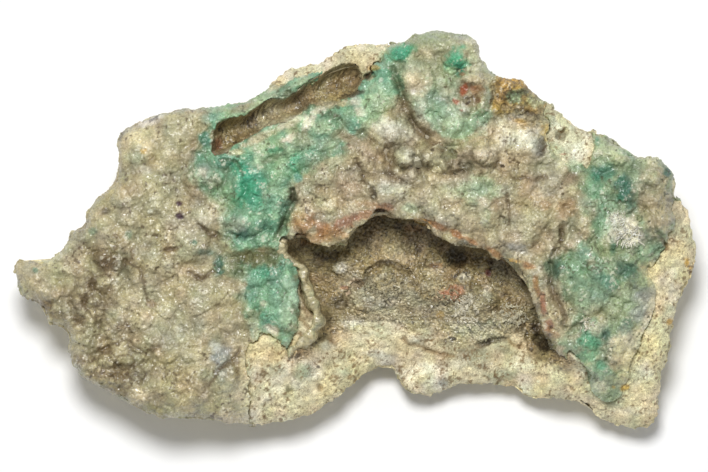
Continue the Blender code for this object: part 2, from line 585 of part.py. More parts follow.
def bed(pieces, home):
    """One cutter for the host rock: all the pieces together, a seat's gap larger."""
    shape = bmesh.new()
    for piece in pieces:
        seat = swollen(piece, SEAT_GAP + BED_SLACK, home)
        shape.from_mesh(seat.data)
        bpy.data.objects.remove(seat)
    mesh = bpy.data.meshes.new("bed")
    shape.to_mesh(mesh)
    shape.free()
    cutter = bpy.data.objects.new("bed", mesh)
    home.objects.link(cutter)
    even_quads(cutter, BED_VOXEL)
    thin_out(cutter, BED_FACETS)
    cutter.hide_render, cutter.display_type = True, "WIRE"
    return cutter


def keep_largest_body(obj):
    """Deletes the chips that a cut can leave loose beside the main body."""
    shape = bmesh.new()
    shape.from_mesh(obj.data)
    bmesh.ops.remove_doubles(shape, verts=shape.verts, dist=2e-6)
    bmesh.ops.dissolve_degenerate(shape, edges=shape.edges, dist=2e-6)
    unseen, bodies = set(shape.faces), []
    while unseen:
        body, front = [], [unseen.pop()]
        while front:
            face = front.pop()
            body.append(face)
            joined = (f for e in face.edges if len(e.link_faces) == 2 for f in e.link_faces)
            for other in joined:
                if other in unseen:
                    unseen.discard(other)
                    front.append(other)
        bodies.append(body)
    bodies.sort(key=len)
    chips = [face for body in bodies[:-1] for face in body]
    bmesh.ops.delete(shape, geom=chips, context="FACES")
    bmesh.ops.triangulate(shape, faces=shape.faces)
    shape.to_mesh(obj.data)
    shape.free()


# The pieces


def broken_sides(x, y, share):
    """Moves a slab's points in towards its middle, more so lower down, in leaning ledges."""
    depth = 1.0 - share
    ledges = rolling(x + 30.0 * depth, y - 22.0 * depth, 15.0, 31) + 2.4 * depth
    inset = SIDE_LEAN * depth**1.8 + SIDE_LEDGE * smoothstep(ledges, 0.5, 0.9)
    inset += SIDE_CHIPS * depth * (1.0 + rolling(x - 18.0 * depth, y + 12.0 * depth, 6.0, 32))
    radius = np.hypot(x, y) + 1e-6
    shrink = 1.0 - inset / np.maximum(radius, 24.0)
    return x * shrink, y * shrink


def make_host(home):
    """The block of host rock, wider at the face than at its base, before it is cut."""
    host = slab("host_rock", [OUTLINE], HOST_SLAB, 1.35, home)
    drape(host, HOST_SLAB, host_top, base_level, broken_sides)
    thin_out(host, HOST_FACETS)
    paint(host, "chalky_rock")
    return host


def make_crust(name, crust, home):
    """A crust over its field, as far as the silhouette."""
    solid = slab(name, [crust.field, OUTLINE], crust.thickness, 0.8, home)

    def top(x, y):
        return crust_top(crust, x, y)

    def underside(x, y):
        return ground(x, y) - crust.thickness

    drape(solid, crust.thickness, top, underside)
    thin_out(solid, crust.facets)
    paint(solid, crust.mineral)
    return solid


def make_druse(name, fields, facets, home):
    """A skin of fine crystals over the floor and walls of a hollow."""
    solid = slab(name, fields, DRUSE_THICKNESS, 0.7, home)
    drape(solid, DRUSE_THICKNESS, druse_top, druse_underside)
    thin_out(solid, facets)
    paint(solid, "brown_druse")
    return solid


def make_curled_shell(home):
    """A thin torn curl of crust that stands on edge along the vug's left side."""
    curve = bpy.data.curves.new("curled_shell", "CURVE")
    curve.dimensions = "2D"
    curve.extrude = SHELL_STRIP * MM / 2
    spline = curve.splines.new("BEZIER")
    spline.bezier_points.add(len(CURLED_SHELL_PATH) - 1)
    for knot, (x, y) in zip(spline.bezier_points, CURLED_SHELL_PATH):
        knot.co = (x * MM, y * MM, 0.0)
        knot.handle_left_type = knot.handle_right_type = "AUTO"
    curve.resolution_u = 4
    drawn = bpy.data.objects.new("curled_shell_path", curve)
    home.objects.link(drawn)
    bpy.context.view_layer.update()
    strip = evaluated_mesh(drawn)
    bpy.data.objects.remove(drawn)
    strip.transform(Matrix.Translation((0.0, 0.0, SHELL_STRIP * MM / 2)))
    shell = bpy.data.objects.new("curled_shell", strip)
    home.objects.link(shell)
    solidify = shell.modifiers.new("wall", "SOLIDIFY")
    solidify.thickness, solidify.offset = SHELL_WALL * MM, 0.0
    settle(shell)
    even_quads(shell, 0.45)

    def foot(x, y):
        return np.full(x.shape, VUG_FLOOR - 1.5)

    drape(shell, SHELL_STRIP, shell_lip, foot)
    thin_out(shell, 160)
    paint(shell, "hemimorphite")
    return shell


def make_floor_cutter(home):
    """A big box whose top is the base plane, to cut the block off flat."""
    cutter = bpy.data.objects.new("below_base", bpy.data.meshes.new("below_base"))
    shape = bmesh.new()
    bmesh.ops.create_cube(shape, size=0.4)
    bmesh.ops.translate(shape, verts=shape.verts, vec=(0.0, 0.0, -0.2))
    shape.to_mesh(cutter.data)
    shape.free()
    cutter.hide_render, cutter.display_type = True, "WIRE"
    home.objects.link(cutter)
    return cutter


def main():
    """Builds the specimen: the pieces, the seats cut between them, and how it stands."""
    clear_scene()
    pieces = collection("aurichalcite_specimen")
    cutters = collection("cutters")

    face = bpy.data.objects.new("face", None)
    face.rotation_euler = (FACE_LEAN, 0.0, 0.0)
    face.location = (FACE_ORIGIN_X * MM, FACE_ORIGIN_Y * MM, FACE_HEIGHT * MM)
    pieces.objects.link(face)

    host = make_host(pieces)
    order = [make_crust(name, crust, pieces) for name, crust in CRUSTS.items()]
    order.append(make_curled_shell(pieces))
    order.append(make_druse("vug_druse", [VUG, VUG_DRUSE_FIELD], 340, pieces))
    order.append(make_druse("trough_druse", [TROUGH], 170, pieces))

    # Each piece is cut back by those before it, and the host rock by all of them.
    seats = []
    for piece in order:
        for seat in seats:
            boolean(piece, seat, "DIFFERENCE")
        keep_largest_body(piece)
        seats.append(swollen(piece, SEAT_GAP, cutters))
    boolean(host, bed(order, cutters), "DIFFERENCE")

    for piece in [host, *order]:
        piece.parent = face
    bpy.context.view_layer.update()
    boolean(host, make_floor_cutter(cutters), "DIFFERENCE")
    keep_largest_body(host)


if __name__ == "__main__":
    main()
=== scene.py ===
"""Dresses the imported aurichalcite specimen: crusts, druses, host rock, studio and camera.

The specimen lies on its flat parting face, and its crusted face leans back a little. All
the skins are worked out in face coordinates, in millimetres: x to the right, y up the
face, and a height over the face plane. One continuous relief covers the face, and each
piece is the part of it that its mineral owns. Where a piece ends against a neighbour it
dives below it, and where it ends in the open it turns down and under, as a wall.
"""

import logging
import math
from dataclasses import dataclass, field
from enum import Enum
from typing import Callable, NamedTuple

import bpy
import numpy as np
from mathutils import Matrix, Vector
from mathutils.geometry import delaunay_2d_cdt


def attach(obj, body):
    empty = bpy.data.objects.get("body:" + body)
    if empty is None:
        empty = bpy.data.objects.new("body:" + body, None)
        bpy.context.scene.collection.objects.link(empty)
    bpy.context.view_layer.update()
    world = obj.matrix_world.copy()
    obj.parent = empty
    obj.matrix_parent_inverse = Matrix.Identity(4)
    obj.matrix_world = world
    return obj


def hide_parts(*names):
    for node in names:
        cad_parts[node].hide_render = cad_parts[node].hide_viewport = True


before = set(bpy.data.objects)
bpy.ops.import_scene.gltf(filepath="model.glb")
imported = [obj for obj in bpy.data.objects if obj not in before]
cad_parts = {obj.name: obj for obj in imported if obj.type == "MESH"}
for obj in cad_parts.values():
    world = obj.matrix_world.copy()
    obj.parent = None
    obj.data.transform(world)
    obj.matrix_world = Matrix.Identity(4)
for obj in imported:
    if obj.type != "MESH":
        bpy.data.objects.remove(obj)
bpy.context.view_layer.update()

LOG = logging.getLogger("aurichalcite")

Array = np.ndarray
Points = list[tuple[float, float]]
Patch = tuple[str, float, float, float, float, float, float]


def rows(table: str) -> list[tuple[float, ...]]:
    """Reads a table of numbers, whose rows are parted by commas."""
    return [tuple(map(float, row.split())) for row in table.split(",")]


# All sizes are in millimetres, and MM turns them to metres where a mesh is made.
MM = 0.001
FACE_LEAN = math.radians(12.0)
FACE_HEIGHT = 28.0
FACE_ORIGIN = (-0.046, -3.253)

# The silhouette of the face, clockwise from the left tip.
OUTLINE = rows("""
-68 -6.8, -66.8 -5, -62.4 -5.4, -58.8 -3, -56.4 .8, -54 1.6, -53.2 4.8, -50.8 8, -47.6 10.8, -47 15.2,
-47.2 19.2, -45.4 21.6, -39.6 24, -37.2 24.8, -30.8 25.6, -23.2 26.4, -18.4 28.2, -14.2 32.6, -7.8 34.2,
-2.8 37.2, 1.2 38.2, 9.2 38.8, 12.8 40.4, 18.8 41, 24 39.2, 25.8 34.8, 27.6 32.6, 30.2 31.4, 33.4 30.8,
37.2 27.6, 41.6 24.4, 45.8 21, 50.8 19.8, 53.2 17.6, 56.6 15.8, 60.4 15.6, 64 12.6, 64 7.6, 66.6 5.6,
68.4 -2, 67.8 -7.2, 65.4 -12.2, 63.4 -19.8, 63.6 -22.8, 61.4 -28.4, 61 -36.2, 57.6 -38.6, 50.8 -37,
44.6 -32.8, 35.2 -32.4, 31.8 -30, 20.8 -29.8, 15.8 -31.8, 10.8 -31.4, 7.4 -26.2, 2.4 -27.4, -1.8 -30.8,
-6.8 -34.6, -13.2 -37, -22.8 -37.6, -30.8 -36.4, -38.8 -36.2, -44.8 -33.4, -51.2 -30, -55.2 -27.4,
-57.2 -22.8, -56.8 -20.2, -58.4 -18, -61.2 -17.2, -63.2 -13.4, -66.4 -12
""")

# The fields of the crusts. Where a field runs past the silhouette, the crust ends there.
LEFT_FIELD = rows("""
-72 .8, -59.6 4.8, -52.4 15.2, -50.8 24.8, -40.8 27.6, -30.8 27.6, -30.8 23.2, -31.6 17.2, -32.4 12.8,
-29.8 9.2, -26.4 6.2, -25.6 .2, -24.4 -5.2, -22.8 -10.8, -21.6 -16.4, -21.2 -21.8, -20.4 -29.8, -21.6 -40.8,
-40.8 -39.2, -58.8 -31.8, -62.8 -19.8, -71.6 -13.2
""")
BAND_FIELD = rows("""
-31.2 27.6, -22.8 28.4, -18.4 30, -13.8 30.4, -9.8 31.8, -6.8 33.4, -7.8 31.6, -10.8 28.8, -13.8 27.4,
-17.2 27.2, -21.8 24.8, -26.4 23.6, -28.4 22.2, -28.6 19.2, -28 16.8, -26.2 16.4, -22.8 18.8, -16.8 22.2,
-11.8 23.4, -8.8 25.8, -1.8 27.4, 1.2 31.2, 3.6 32.6, 6.8 33.6, 8.6 31.2, 8.8 27.6, 6 24.8, 3.2 21.8,
-1.4 20.2, -2.6 17.4, -7.2 15.4, -9.4 13, -12.6 8.2, -13 4.8, -13.8 .8, -15.2 -1.2, -14 -4, -11.4 -6.4,
-10.8 -8.8, -11.2 -17.2, -12 -20.4, -14 -22.4, -16.4 -20.4, -20.4 -18.8, -21.6 -16.4, -22.8 -10.8,
-24.4 -5.2, -25.6 .2, -26.4 6.2, -29.8 9.2, -32.4 12.8, -31.6 17.2, -30.8 23.2
""")
HOOD_FIELD = rows("""
-12.2 7.8, -9 12.6, -7 15, -2.2 17, -1 19.8, 3.6 21.4, 6.4 24.4, 8 25.2, 11.6 22, 15.2 18.8, 20.4 15.6,
21.8 17.8, 26.8 21.6, 28 24.4, 29.2 25.6, 31.6 24.4, 33.6 22.2, 38.2 21, 39.6 17.6, 43.2 12.8, 45.4 11,
45.8 7.2, 44.6 -.4, 40.2 -4, 38.6 -6, 39.4 -8.6, 42.2 -14.6, 43.8 -19.8, 42.4 -22, 40.8 -22.8, 38.4 -20.4,
37.2 -17.2, 36 -12.8, 35.2 -9.6, 33.6 -7.2, 29.2 -5, 26.4 -2.8, 23.6 -1.4, 18.2 .2, 13.2 3.2, 8.2 4,
5.6 4.8, 3.6 3.8, -1 .8, -1.6 -1, -3.2 -2.2, -5.8 -2.4, -8.4 -1.6, -10.4 -.2, -11.6 0, -12.6 5.2
""")
CROWN_FIELD = rows("""
9.4 30.4, 7.8 33.2, 4.8 34.4, 6 37.6, 8.2 40.4, 11.2 42.4, 19.2 43.2, 26 41.2, 28 35.2, 27.6 30.4,
27.8 27.2, 26.4 22.6, 22.4 19, 20.4 17.6, 18.4 18.2, 13.6 21.6, 10.2 26.4
""")
FLANK_FIELD = rows("""
48 21.6, 48 18.4, 45.6 11.6, 46.2 7.2, 45 -.8, 42.6 -2.4, 40.6 -4.4, 39 -6.2, 39.8 -8.6, 42.6 -14.6,
44.2 -20, 43 -22.4, 46 -26.6, 49.2 -31.6, 52 -32.2, 53.6 -30.6, 55.4 -24, 57.8 -21, 60.2 -13.2, 60.6 -10.2,
58.4 -5.6, 61.2 -4.8, 64.6 2.4, 64.4 6, 67.2 9.2, 66.8 15.2, 61.2 18, 55.6 19.6, 51.6 22
""")
RUST_FIELD = rows("""
27.8 32.8, 30.2 32.4, 34 32.2, 36.8 29.4, 38.8 26.2, 38.4 23.6, 37.2 22, 34.8 22, 32.4 23.2, 31.6 25.2,
29.2 26.2, 28 28
""")
TROUGH = rows("""
-28.4 22.2, -26.4 23.6, -21.8 24.8, -17.2 27.2, -13.8 27.4, -10.8 28.8, -7.8 31.6, -5.8 33.6, -1.8 34.6,
.8 33.6, 1.2 31.2, -1.8 27.4, -8.8 25.8, -11.8 23.4, -16.8 22.2, -22.8 18.8, -26.2 16.4, -28 16.8,
-28.6 19.2
""")

# The vug: its back wall lies under the hood's lip, and its front is broken open.
VUG = rows("""
-14 -1.6, -12.6 .2, -10.8 1.6, -8.4 .8, -5.8 0, -3.8 .6, -2.8 2.8, -.4 4.8, 3.2 6.4, 6.2 7.6, 11.6 6.2,
14.2 5.6, 17.2 3.6, 22.4 1.4, 28 -1.2, 33.6 -4, 36 -5.2, 37.8 -8, 38.4 -11.8, 39.4 -14.8, 42.8 -20.4,
43.6 -24, 42 -44, 4 -44, -6 -34, -12 -24.4, -9.2 -19.8, -8 -16.8, -10 -13.6, -11.2 -10, -11.6 -6.8,
-13.8 -4.6
""")
VUG_DRUSE_FIELD = rows("""
-16 10, 45 10, 46 -25, 41 -25.2, 36.2 -23.2, 30.2 -20.4, 23.2 -22.8, 15.2 -19.8, 6.2 -16.6, -1.8 -18.8,
-7.2 -21.8, -10.2 -24.6, -16 -24
""")
CURLED_SHELL_PATH = rows("""
-15 -.8, -14.2 -3.6, -12.6 -5.2, -10.6 -6.4, -9.8 -9.6, -9 -12.4, -7.6 -14.8, -7.2 -17.2, -8.4 -19.6,
-10.4 -21.2, -12.6 -22.8, -13.4 -24.2
""")

# The broad form of the face: centre x, y, radii, turn in degrees, rise at the centre.
SWELLS = {
    "hood": (18, 8, 26, 13, -12, 4),
    "crown": (20, 28, 10, 10, 0, 3.5),
    "band": (-20, 8, 9, 13, 0, 1.4),
    "arm": (1, 25, 12, 5, 35, 1.6),
    "flank": (47, -8, 8, 15, 10, 2),
    "left_tip": (-68, -8, 17, 13, 0, -6),
    "lower_left": (-55, -28, 17, 13, 40, -4),
    "upper_left": (-47, 21, 13, 10, 0, -2.5),
    "lower_right": (58, -36, 20, 13, 0, -4.5),
    "right_edge": (69, 0, 11, 24, 0, -4.5),
    "upper_right": (46, 19, 12, 8, -35, -2.5),
}

# How the face rolls over at its edge: a narrow roll everywhere, and broad broken bevels.
# Each bevel has its centre, its radii, and what it adds to the roll's width and drop.
ROLL_WIDTH, ROLL_DROP = 3.0, 3.6
BEVELS = {
    "front_left": (-14, -34, 14, 15, 12, 6.5),
    "front": (16, -30, 26, 9, 5, 2.5),
    "front_right": (50, -36, 18, 14, 8, 5),
    "right": (67, -8, 7, 20, 4, 3.6),
    "top": (-4, 38, 14, 8, 2, 2),
}

# The vug's floor, the widths over which its wall rises, and the trough's section.
VUG_FLOOR, VUG_WALL, VUG_FRONT_WALL = -9.0, 3.2, 11.0
FRONT_FROM, FRONT_TO = -17.0, -27.0
FLOOR_SWELLS = {
    "under_lip": (18, -2, 22, 7, -18, -2.6),
    "left_pocket": (-5, -12, 6, 9, 0, -1.8),
    "right_pocket": (37, -20, 5, 5, 0, -3),
    "floor_ridge": (8, -11, 8, 5, 25, 2.2),
    "floor_step": (25, -12, 7, 5, -20, 2),
    "front_apron": (16, -28, 22, 6, 0, -1.5),
}
TROUGH_DEPTH, TROUGH_WALL = 6.0, 2.4

# Botryoidal lobes that show from a step away: centre x, y, radii, turn, rise.
LEFT_LOBES = rows("""
-37.6 17 5.2 4.6 0 1, -42.6 7 6.6 5.4 20 1, -50.8 .6 4.2 3.6 0 .9, -40.8 -6 5 5.4 0 1.1,
-60.4 -9.6 5 3.4 10 .9, -53 -14 3.4 4.4 0 .9, -44.8 -15.6 5.2 4 0 1.2, -45.2 -23 4 3.2 0 1.1,
-34 -28.6 6.8 6 0 1.2, -26.2 -28.8 3.2 4 0 1, -31 -14 5.6 5.2 0 1, -33.4 .8 4.8 6.4 0 .9,
-30.8 10.6 3.2 3.4 0 1, -50.6 -27.6 4.6 3.2 -25 .8
""")
HOOD_LOBES = rows("""
6.6 21.4 4.4 3.6 0 2.2, 10.4 16.8 2.6 3.2 0 2.6, 15.6 16.8 3 3 0 2.4, 19.4 15 2.6 2.8 0 2,
1.6 15.4 4.2 4.6 0 1.6, -5.4 11.4 4.6 4 20 1.4, 5.4 10.6 3.4 5.6 15 1.5, 12.6 9.8 4.8 4.2 0 1.2,
24.8 16 4 4.4 0 2.6, 24.6 9.6 4.6 3.8 0 1.7, 34.8 18.2 4.6 4.4 0 2, 32.6 10.6 4.6 4.2 0 1.5,
27.2 5.2 2.8 3.6 -10 1.8, 38.8 6 5.2 5.4 0 1.4, 18.6 5.4 4 3.8 0 1.3, 33 1.4 4.8 4.4 0 1.6,
39.6 -13 2.8 6.4 20 1.6, -6.4 2.6 5 2.8 10 .9
""")
CROWN_LOBES = rows("""
12.6 30.8 3.8 4.8 10 2.4, 14.2 24.6 2.8 3.8 25 1.8, 23.2 28.2 4.6 4.8 0 2.8, 19.6 22.6 5.2 4.6 0 1.8,
10.2 37.2 3.8 2.4 10 1.6, 20.6 36.6 3.6 3.4 0 2, 15.6 37.6 3 2.4 0 1.4, 24 37 2.6 2.6 0 1.4
""")
BAND_LOBES = rows("""
-20.2 9.6 4.4 5.6 0 1.6, -14.4 9.2 3 3.4 0 1.2, -21.6 3.2 4.2 3.4 0 1.1, -14 -12.6 3.4 6.8 5 1.5,
-19.4 -15.2 3 3.6 0 .9, -19 -7 3.6 4 0 .8, 5.8 28 3.2 4.4 -25 2, 1 23.8 3.6 3 0 1.4, -6 20.2 4.2 3.2 20 1.3,
-13.2 18.6 4.8 2.8 25 1.4, -29.4 13 2.4 3.4 0 1.2, -6 23.4 5.6 1.8 30 1.4
""")
FLANK_LOBES = rows("""
47 -8.8 5.2 7 0 2, 46.8 5.8 3.6 7 0 1.1, 53.4 8.8 4.2 4.6 0 1.3, 60 9.4 4.4 4.2 0 1.5, 60.8 2.2 4 4 0 1.6,
54.6 .2 4.4 4 0 1.2, 53.8 -7.8 4.4 4.8 0 1.2, 56.6 -12.6 3.6 3.6 0 1.2, 47.2 -20.6 3.4 4.4 0 1.2,
52.6 -18.6 3.2 5 0 1.3, 49.2 -27.2 3.2 3.8 0 1, 53.2 15.8 4.4 2.4 -20 1
""")
RUST_LOBES = rows("""
30 29.8 2.2 2.6 0 1.4, 33.2 28.4 2.4 2.6 0 1.5, 34.6 24.4 2.6 1.8 0 1
""")


# How crusts roll off at their free edge, and what lies under them.
EDGE_ROLL_WIDTH, EDGE_ROLL_DROP = 2.2, 0.9
HOST_BELOW_CRUST = 1.2
HOOD_OVER_DRUSE = 2.1
CRUST_WALL = 4.2
# How far a pattern is shifted from the top of the vug's wall to its foot.
PATTERN_SHIFT = 6.0

# The block's broken sides: how far they lean in, their ledges and chips. The curled shell's wall.
SIDE_LEAN, SIDE_LEDGE, SIDE_CHIPS = 6.0, 2.6, 1.8
SHELL_WALL = 2.0

# Small round knobs and beads on the skins: centre x, y, radii, turn, rise.
BEADS = rows("""
-2.8 -6.4 1.8 1.7 0 1.5, -13.8 8.4 1.5 1.3 0 .9, -3.8 15 1.5 1.1 0 .7, -1.4 18.2 1.1 1.1 0 .5,
-52.2 -12.2 1.5 1.4 0 .7, -50.4 -13.8 1.2 1.2 0 .6, -58.4 -12.8 1.7 1.3 0 .6, -55.6 -13.2 1.4 1.4 0 .6,
-60.6 -14.6 1.4 1 0 .6, -30.2 12.8 2.2 2.2 0 .8, -27.6 10.8 1.6 1.4 0 .7, -52.8 -21.8 2.2 1.8 0 .8,
-49.6 -25 1.8 1.7 0 .7, -45.8 -25.2 1.9 1.7 0 .7, -43.4 -27.4 1.7 1.6 0 .7, -47.4 -28.8 1.8 1.4 0 .6,
-48.6 -18.8 2.4 2 0 .7, -42.6 -21.4 2.6 2.2 0 .8, 10.2 15.8 2.5 2.4 0 1.7, 16.6 15.4 3.3 3 0 1.7,
26.4 16.6 3 2.8 0 1.5, 8.8 21 3.4 2.8 0 1.2, 36 9.6 2.4 1.6 0 .7, -50 -4.6 2 1.7 0 .7,
-46.4 -2.2 1.8 1.6 0 .6, -54 -8.6 2 1.8 0 .7, -50.6 -9.4 1.9 1.8 0 .7, 32.6 29.6 1.3 1.2 0 .6,
29.2 31.4 1.2 .9 0 .6, 60.2 2.8 2 2.2 0 .8, 63.6 12.6 1.4 1.4 0 .5, 52 -22.4 2.4 3 0 .8,
26 -13 3.4 2.6 0 1.2, 31 -17 3.6 2.4 -15 1.3, 7 -10.6 3 2.4 20 1.2, 18.6 -11.8 2.6 1.8 0 1,
3 -13.4 3.4 1.8 0 .9
""")

# Hollows in the skins: centre x, y, radii, turn, depth.
HOLLOWS = rows("""
22.9 28 3.6 3.2 0 1.9, 22.8 26.6 1.2 .6 35 1.6, 22.2 14.2 1.6 1.4 0 1.3, 37.4 18 1.4 2.2 0 1,
41.8 20.2 1.4 1.2 0 1.4, 20.4 -3.8 2.4 2.8 0 1.5, 38.2 -21.2 2.6 1.9 -25 1.8, 34.2 24.2 2.8 1.2 -25 .7,
7 14.2 1.3 2.2 0 1.1, 2.8 32 1 .8 0 1.4, -12.8 -31 .9 .9 0 .9, -6.8 -30.4 .7 .7 0 .7, 42.2 7 1.6 2.4 0 .8,
60.6 -.6 2.2 1 30 1, 44.4 -18.2 1.8 .9 20 1, 56.6 -23.2 .8 .8 0 .8
""")

# Cracks and crevices: the points along it, its half width and its depth.
CRACKS = [
    ([(7.6, 32.8), (9.6, 28.2), (10.4, 25.2), (12.8, 21.2), (16.4, 18), (19.4, 16.8)], 0.8, 1.7),
    ([(-12.6, 8.8), (-12, 7.2), (-13.8, 2.8), (-15.4, -0.4)], 0.6, 1.5),
    ([(0.6, 15.2), (1.6, 12), (4, 8)], 0.45, 0.8), ([(31.2, 12), (35.2, 11.2), (38.2, 11.6)], 0.5, 0.4),
    ([(41.6, 2.2), (41, -1.8), (39.8, -5.2), (39.6, -10.8), (42.4, -17.8)], 0.6, 1.2),
    ([(12.4, 16.2), (12.9, 12.2)], 0.5, 1.1), ([(18.2, 17.2), (19.2, 12.2), (21.2, 12.8)], 0.5, 1.1),
    ([(6.4, 17.2), (7.6, 12.2), (9.6, 10.8)], 0.55, 1), ([(-30.8, 2.2), (-28.4, 0), (-25, -0.8)], 0.4, 0.4),
    ([(-32.8, -7.2), (-30.4, -8.4), (-28, -7.2)], 0.4, 0.4), ([(-38.4, -3.2), (-34.4, -2.2)], 0.4, 0.35),
    ([(-28.8, -29.8), (-27.2, -26.8), (-24.4, -25.2), (-22.8, -22.8)], 0.4, 0.3),
    ([(30.2, 8.2), (30.8, 2.2)], 0.35, 0.6), ([(-50.8, -22.8), (-45.8, -20.2), (-42, -24)], 0.4, 0.3),
    ([(-47.2, -3.8), (-42.8, -6.8), (-40.8, -12.8)], 0.4, 0.25),
    ([(60.2, 2.2), (62.4, -1.8), (59.2, -3.8)], 0.5, 0.9),
    ([(-26.8, 15.2), (-24, 14.8), (-22, 12)], 0.4, 0.4),
    ([(24.8, -21.8), (29.2, -20.4), (33.8, -22)], 0.4, 0.7),
    ([(10, -20.6), (14.4, -22.8), (20, -24.2)], 0.4, 0.7), ([(-12, -14), (-8, -20), (-4, -21.4)], 0.5, 0.9),
    ([(-3.2, -14.4), (-0.8, -10.8), (1.6, -8.8), (4.2, -6), (7.2, -5), (11, -7.6)], 0.4, 0.9),
]

# Where small knobs crowd the skin, and where it is smooth: centre x, y, radii, turn, share.
KNOBBY = rows("""
-51 -16 14 16 0 1, -40 -28 14 8 0 .8, -34 2 12 14 0 .45, 12 14 14 8 0 .5, 36 4 12 14 0 .4, 60 8 8 10 0 .7,
52 -14 10 20 0 .35, -18 6 10 16 0 .35, 32 28 7 6 0 1, 16 38 10 5 0 .6
""")
SMOOTH = rows("""
46.4 -6.8 5.4 6.4 0 .45, -13.4 -14 3.4 8 0 .5, 12.6 30.6 3 3.6 0 .4, 21 22 4.5 2.2 0 .6, -21 8 5 6 0 .5,
-1 38 8 2.4 10 .6, 60.4 -7.4 2.4 2.2 0 .8, 6 29.4 3 3.4 0 .4, -2.8 -6.4 1.8 1.7 0 .9, 6 16 6 4 0 .25
""")

# Where iron has stained the crevices between the knobs; their darkening there is also painted shade.
STAINED = rows("""
-50 -6 6 5 0 1, -53 -14 5 7 0 1, -46 -25 9 8 0 .9, -36 -30 8 5 0 .6, -34 -3 7 5 0 .6, -30 12 5 6 0 .7,
9 15 8 6 0 .8, 24 14 8 4 0 .8, 32 28 7 6 0 .8, 40 -8 3 9 0 .5
""")

# Where a crust thins out towards its free edge, and where borders wander least.
THIN = rows("""
-22 -29 6 13 0 1, 59 -20 6 16 10 1, 40 20 5 6 0 .7
""")
STEADY = rows("""
-12 26 20 8 25 .8, -11 -12 5 14 0 .6
""")

# Each pigment's colour, as it looks in flat light, but for palestraw, vugbrown and vuglight, which are
# painted lighter to make up for shade.
PIGMENTS = {
    "stone": "#b4aa85", "light": "#d0c8a4", "straw": "#c4b78a", "ash": "#a5a285",
    "frost": "#b7bbb0", "olive": "#8c8553", "sage": "#a1a885", "cream": "#e6dbb0",
    "chalk": "#ebe6cf", "dusk": "#6c6a54", "mint": "#7fa987", "emerald": "#469f78",
    "pine": "#2f6552", "teal": "#47826a", "umbergreen": "#5f6540", "palemint": "#afc59d",
    "paleteal": "#92b096", "rosy": "#ac9274", "umber": "#6b5738", "sienna": "#b0804f",
    "russet": "#a26a4a", "limonite": "#b9984a", "tan": "#b5a079", "bister": "#3b3021",
    # palestraw is paler than the rim's own cream: painted light against the shade on the right rim's bevel.
    "palestraw": "#efe4ae", "slate": "#74807a", "rust": "#b2633f", "redbrown": "#7c4a30",
    "purple": "#432a33", "tealblue": "#3f8f86", "ochre": "#d3ab4e", "redspot": "#a8502f",
    # vugbrown and vuglight are lighter than the druse's own brown: painted light that makes up for the shade
    # deep in the vug.
    "garnet": "#5e1f1a", "glass": "#c9c4a8", "black": "#55564a", "vugbrown": "#9a8a62",
    "vuglight": "#cbbf99", "earth": "#8a6a3c", "greystone": "#b3a886", "greenstone": "#98a681",
}


def patches(table: str) -> list[Patch]:
    """Reads a table of patches.

    Args:
        table: a pigment and then its patches, parted by commas, up to a semicolon, and so on.
            A patch is its centre's x and y, its radii, its share and any turn in degrees.

    Returns:
        Each patch in the table's order: pigment, x, y, radii, turn, share.
    """
    laid = []
    for group in table.split(";"):
        pigment, numbers = group.split(maxsplit=1)
        for x, y, rx, ry, share, *turn in rows(numbers):
            laid.append((pigment, x, y, rx, ry, sum(turn), share))
    return laid
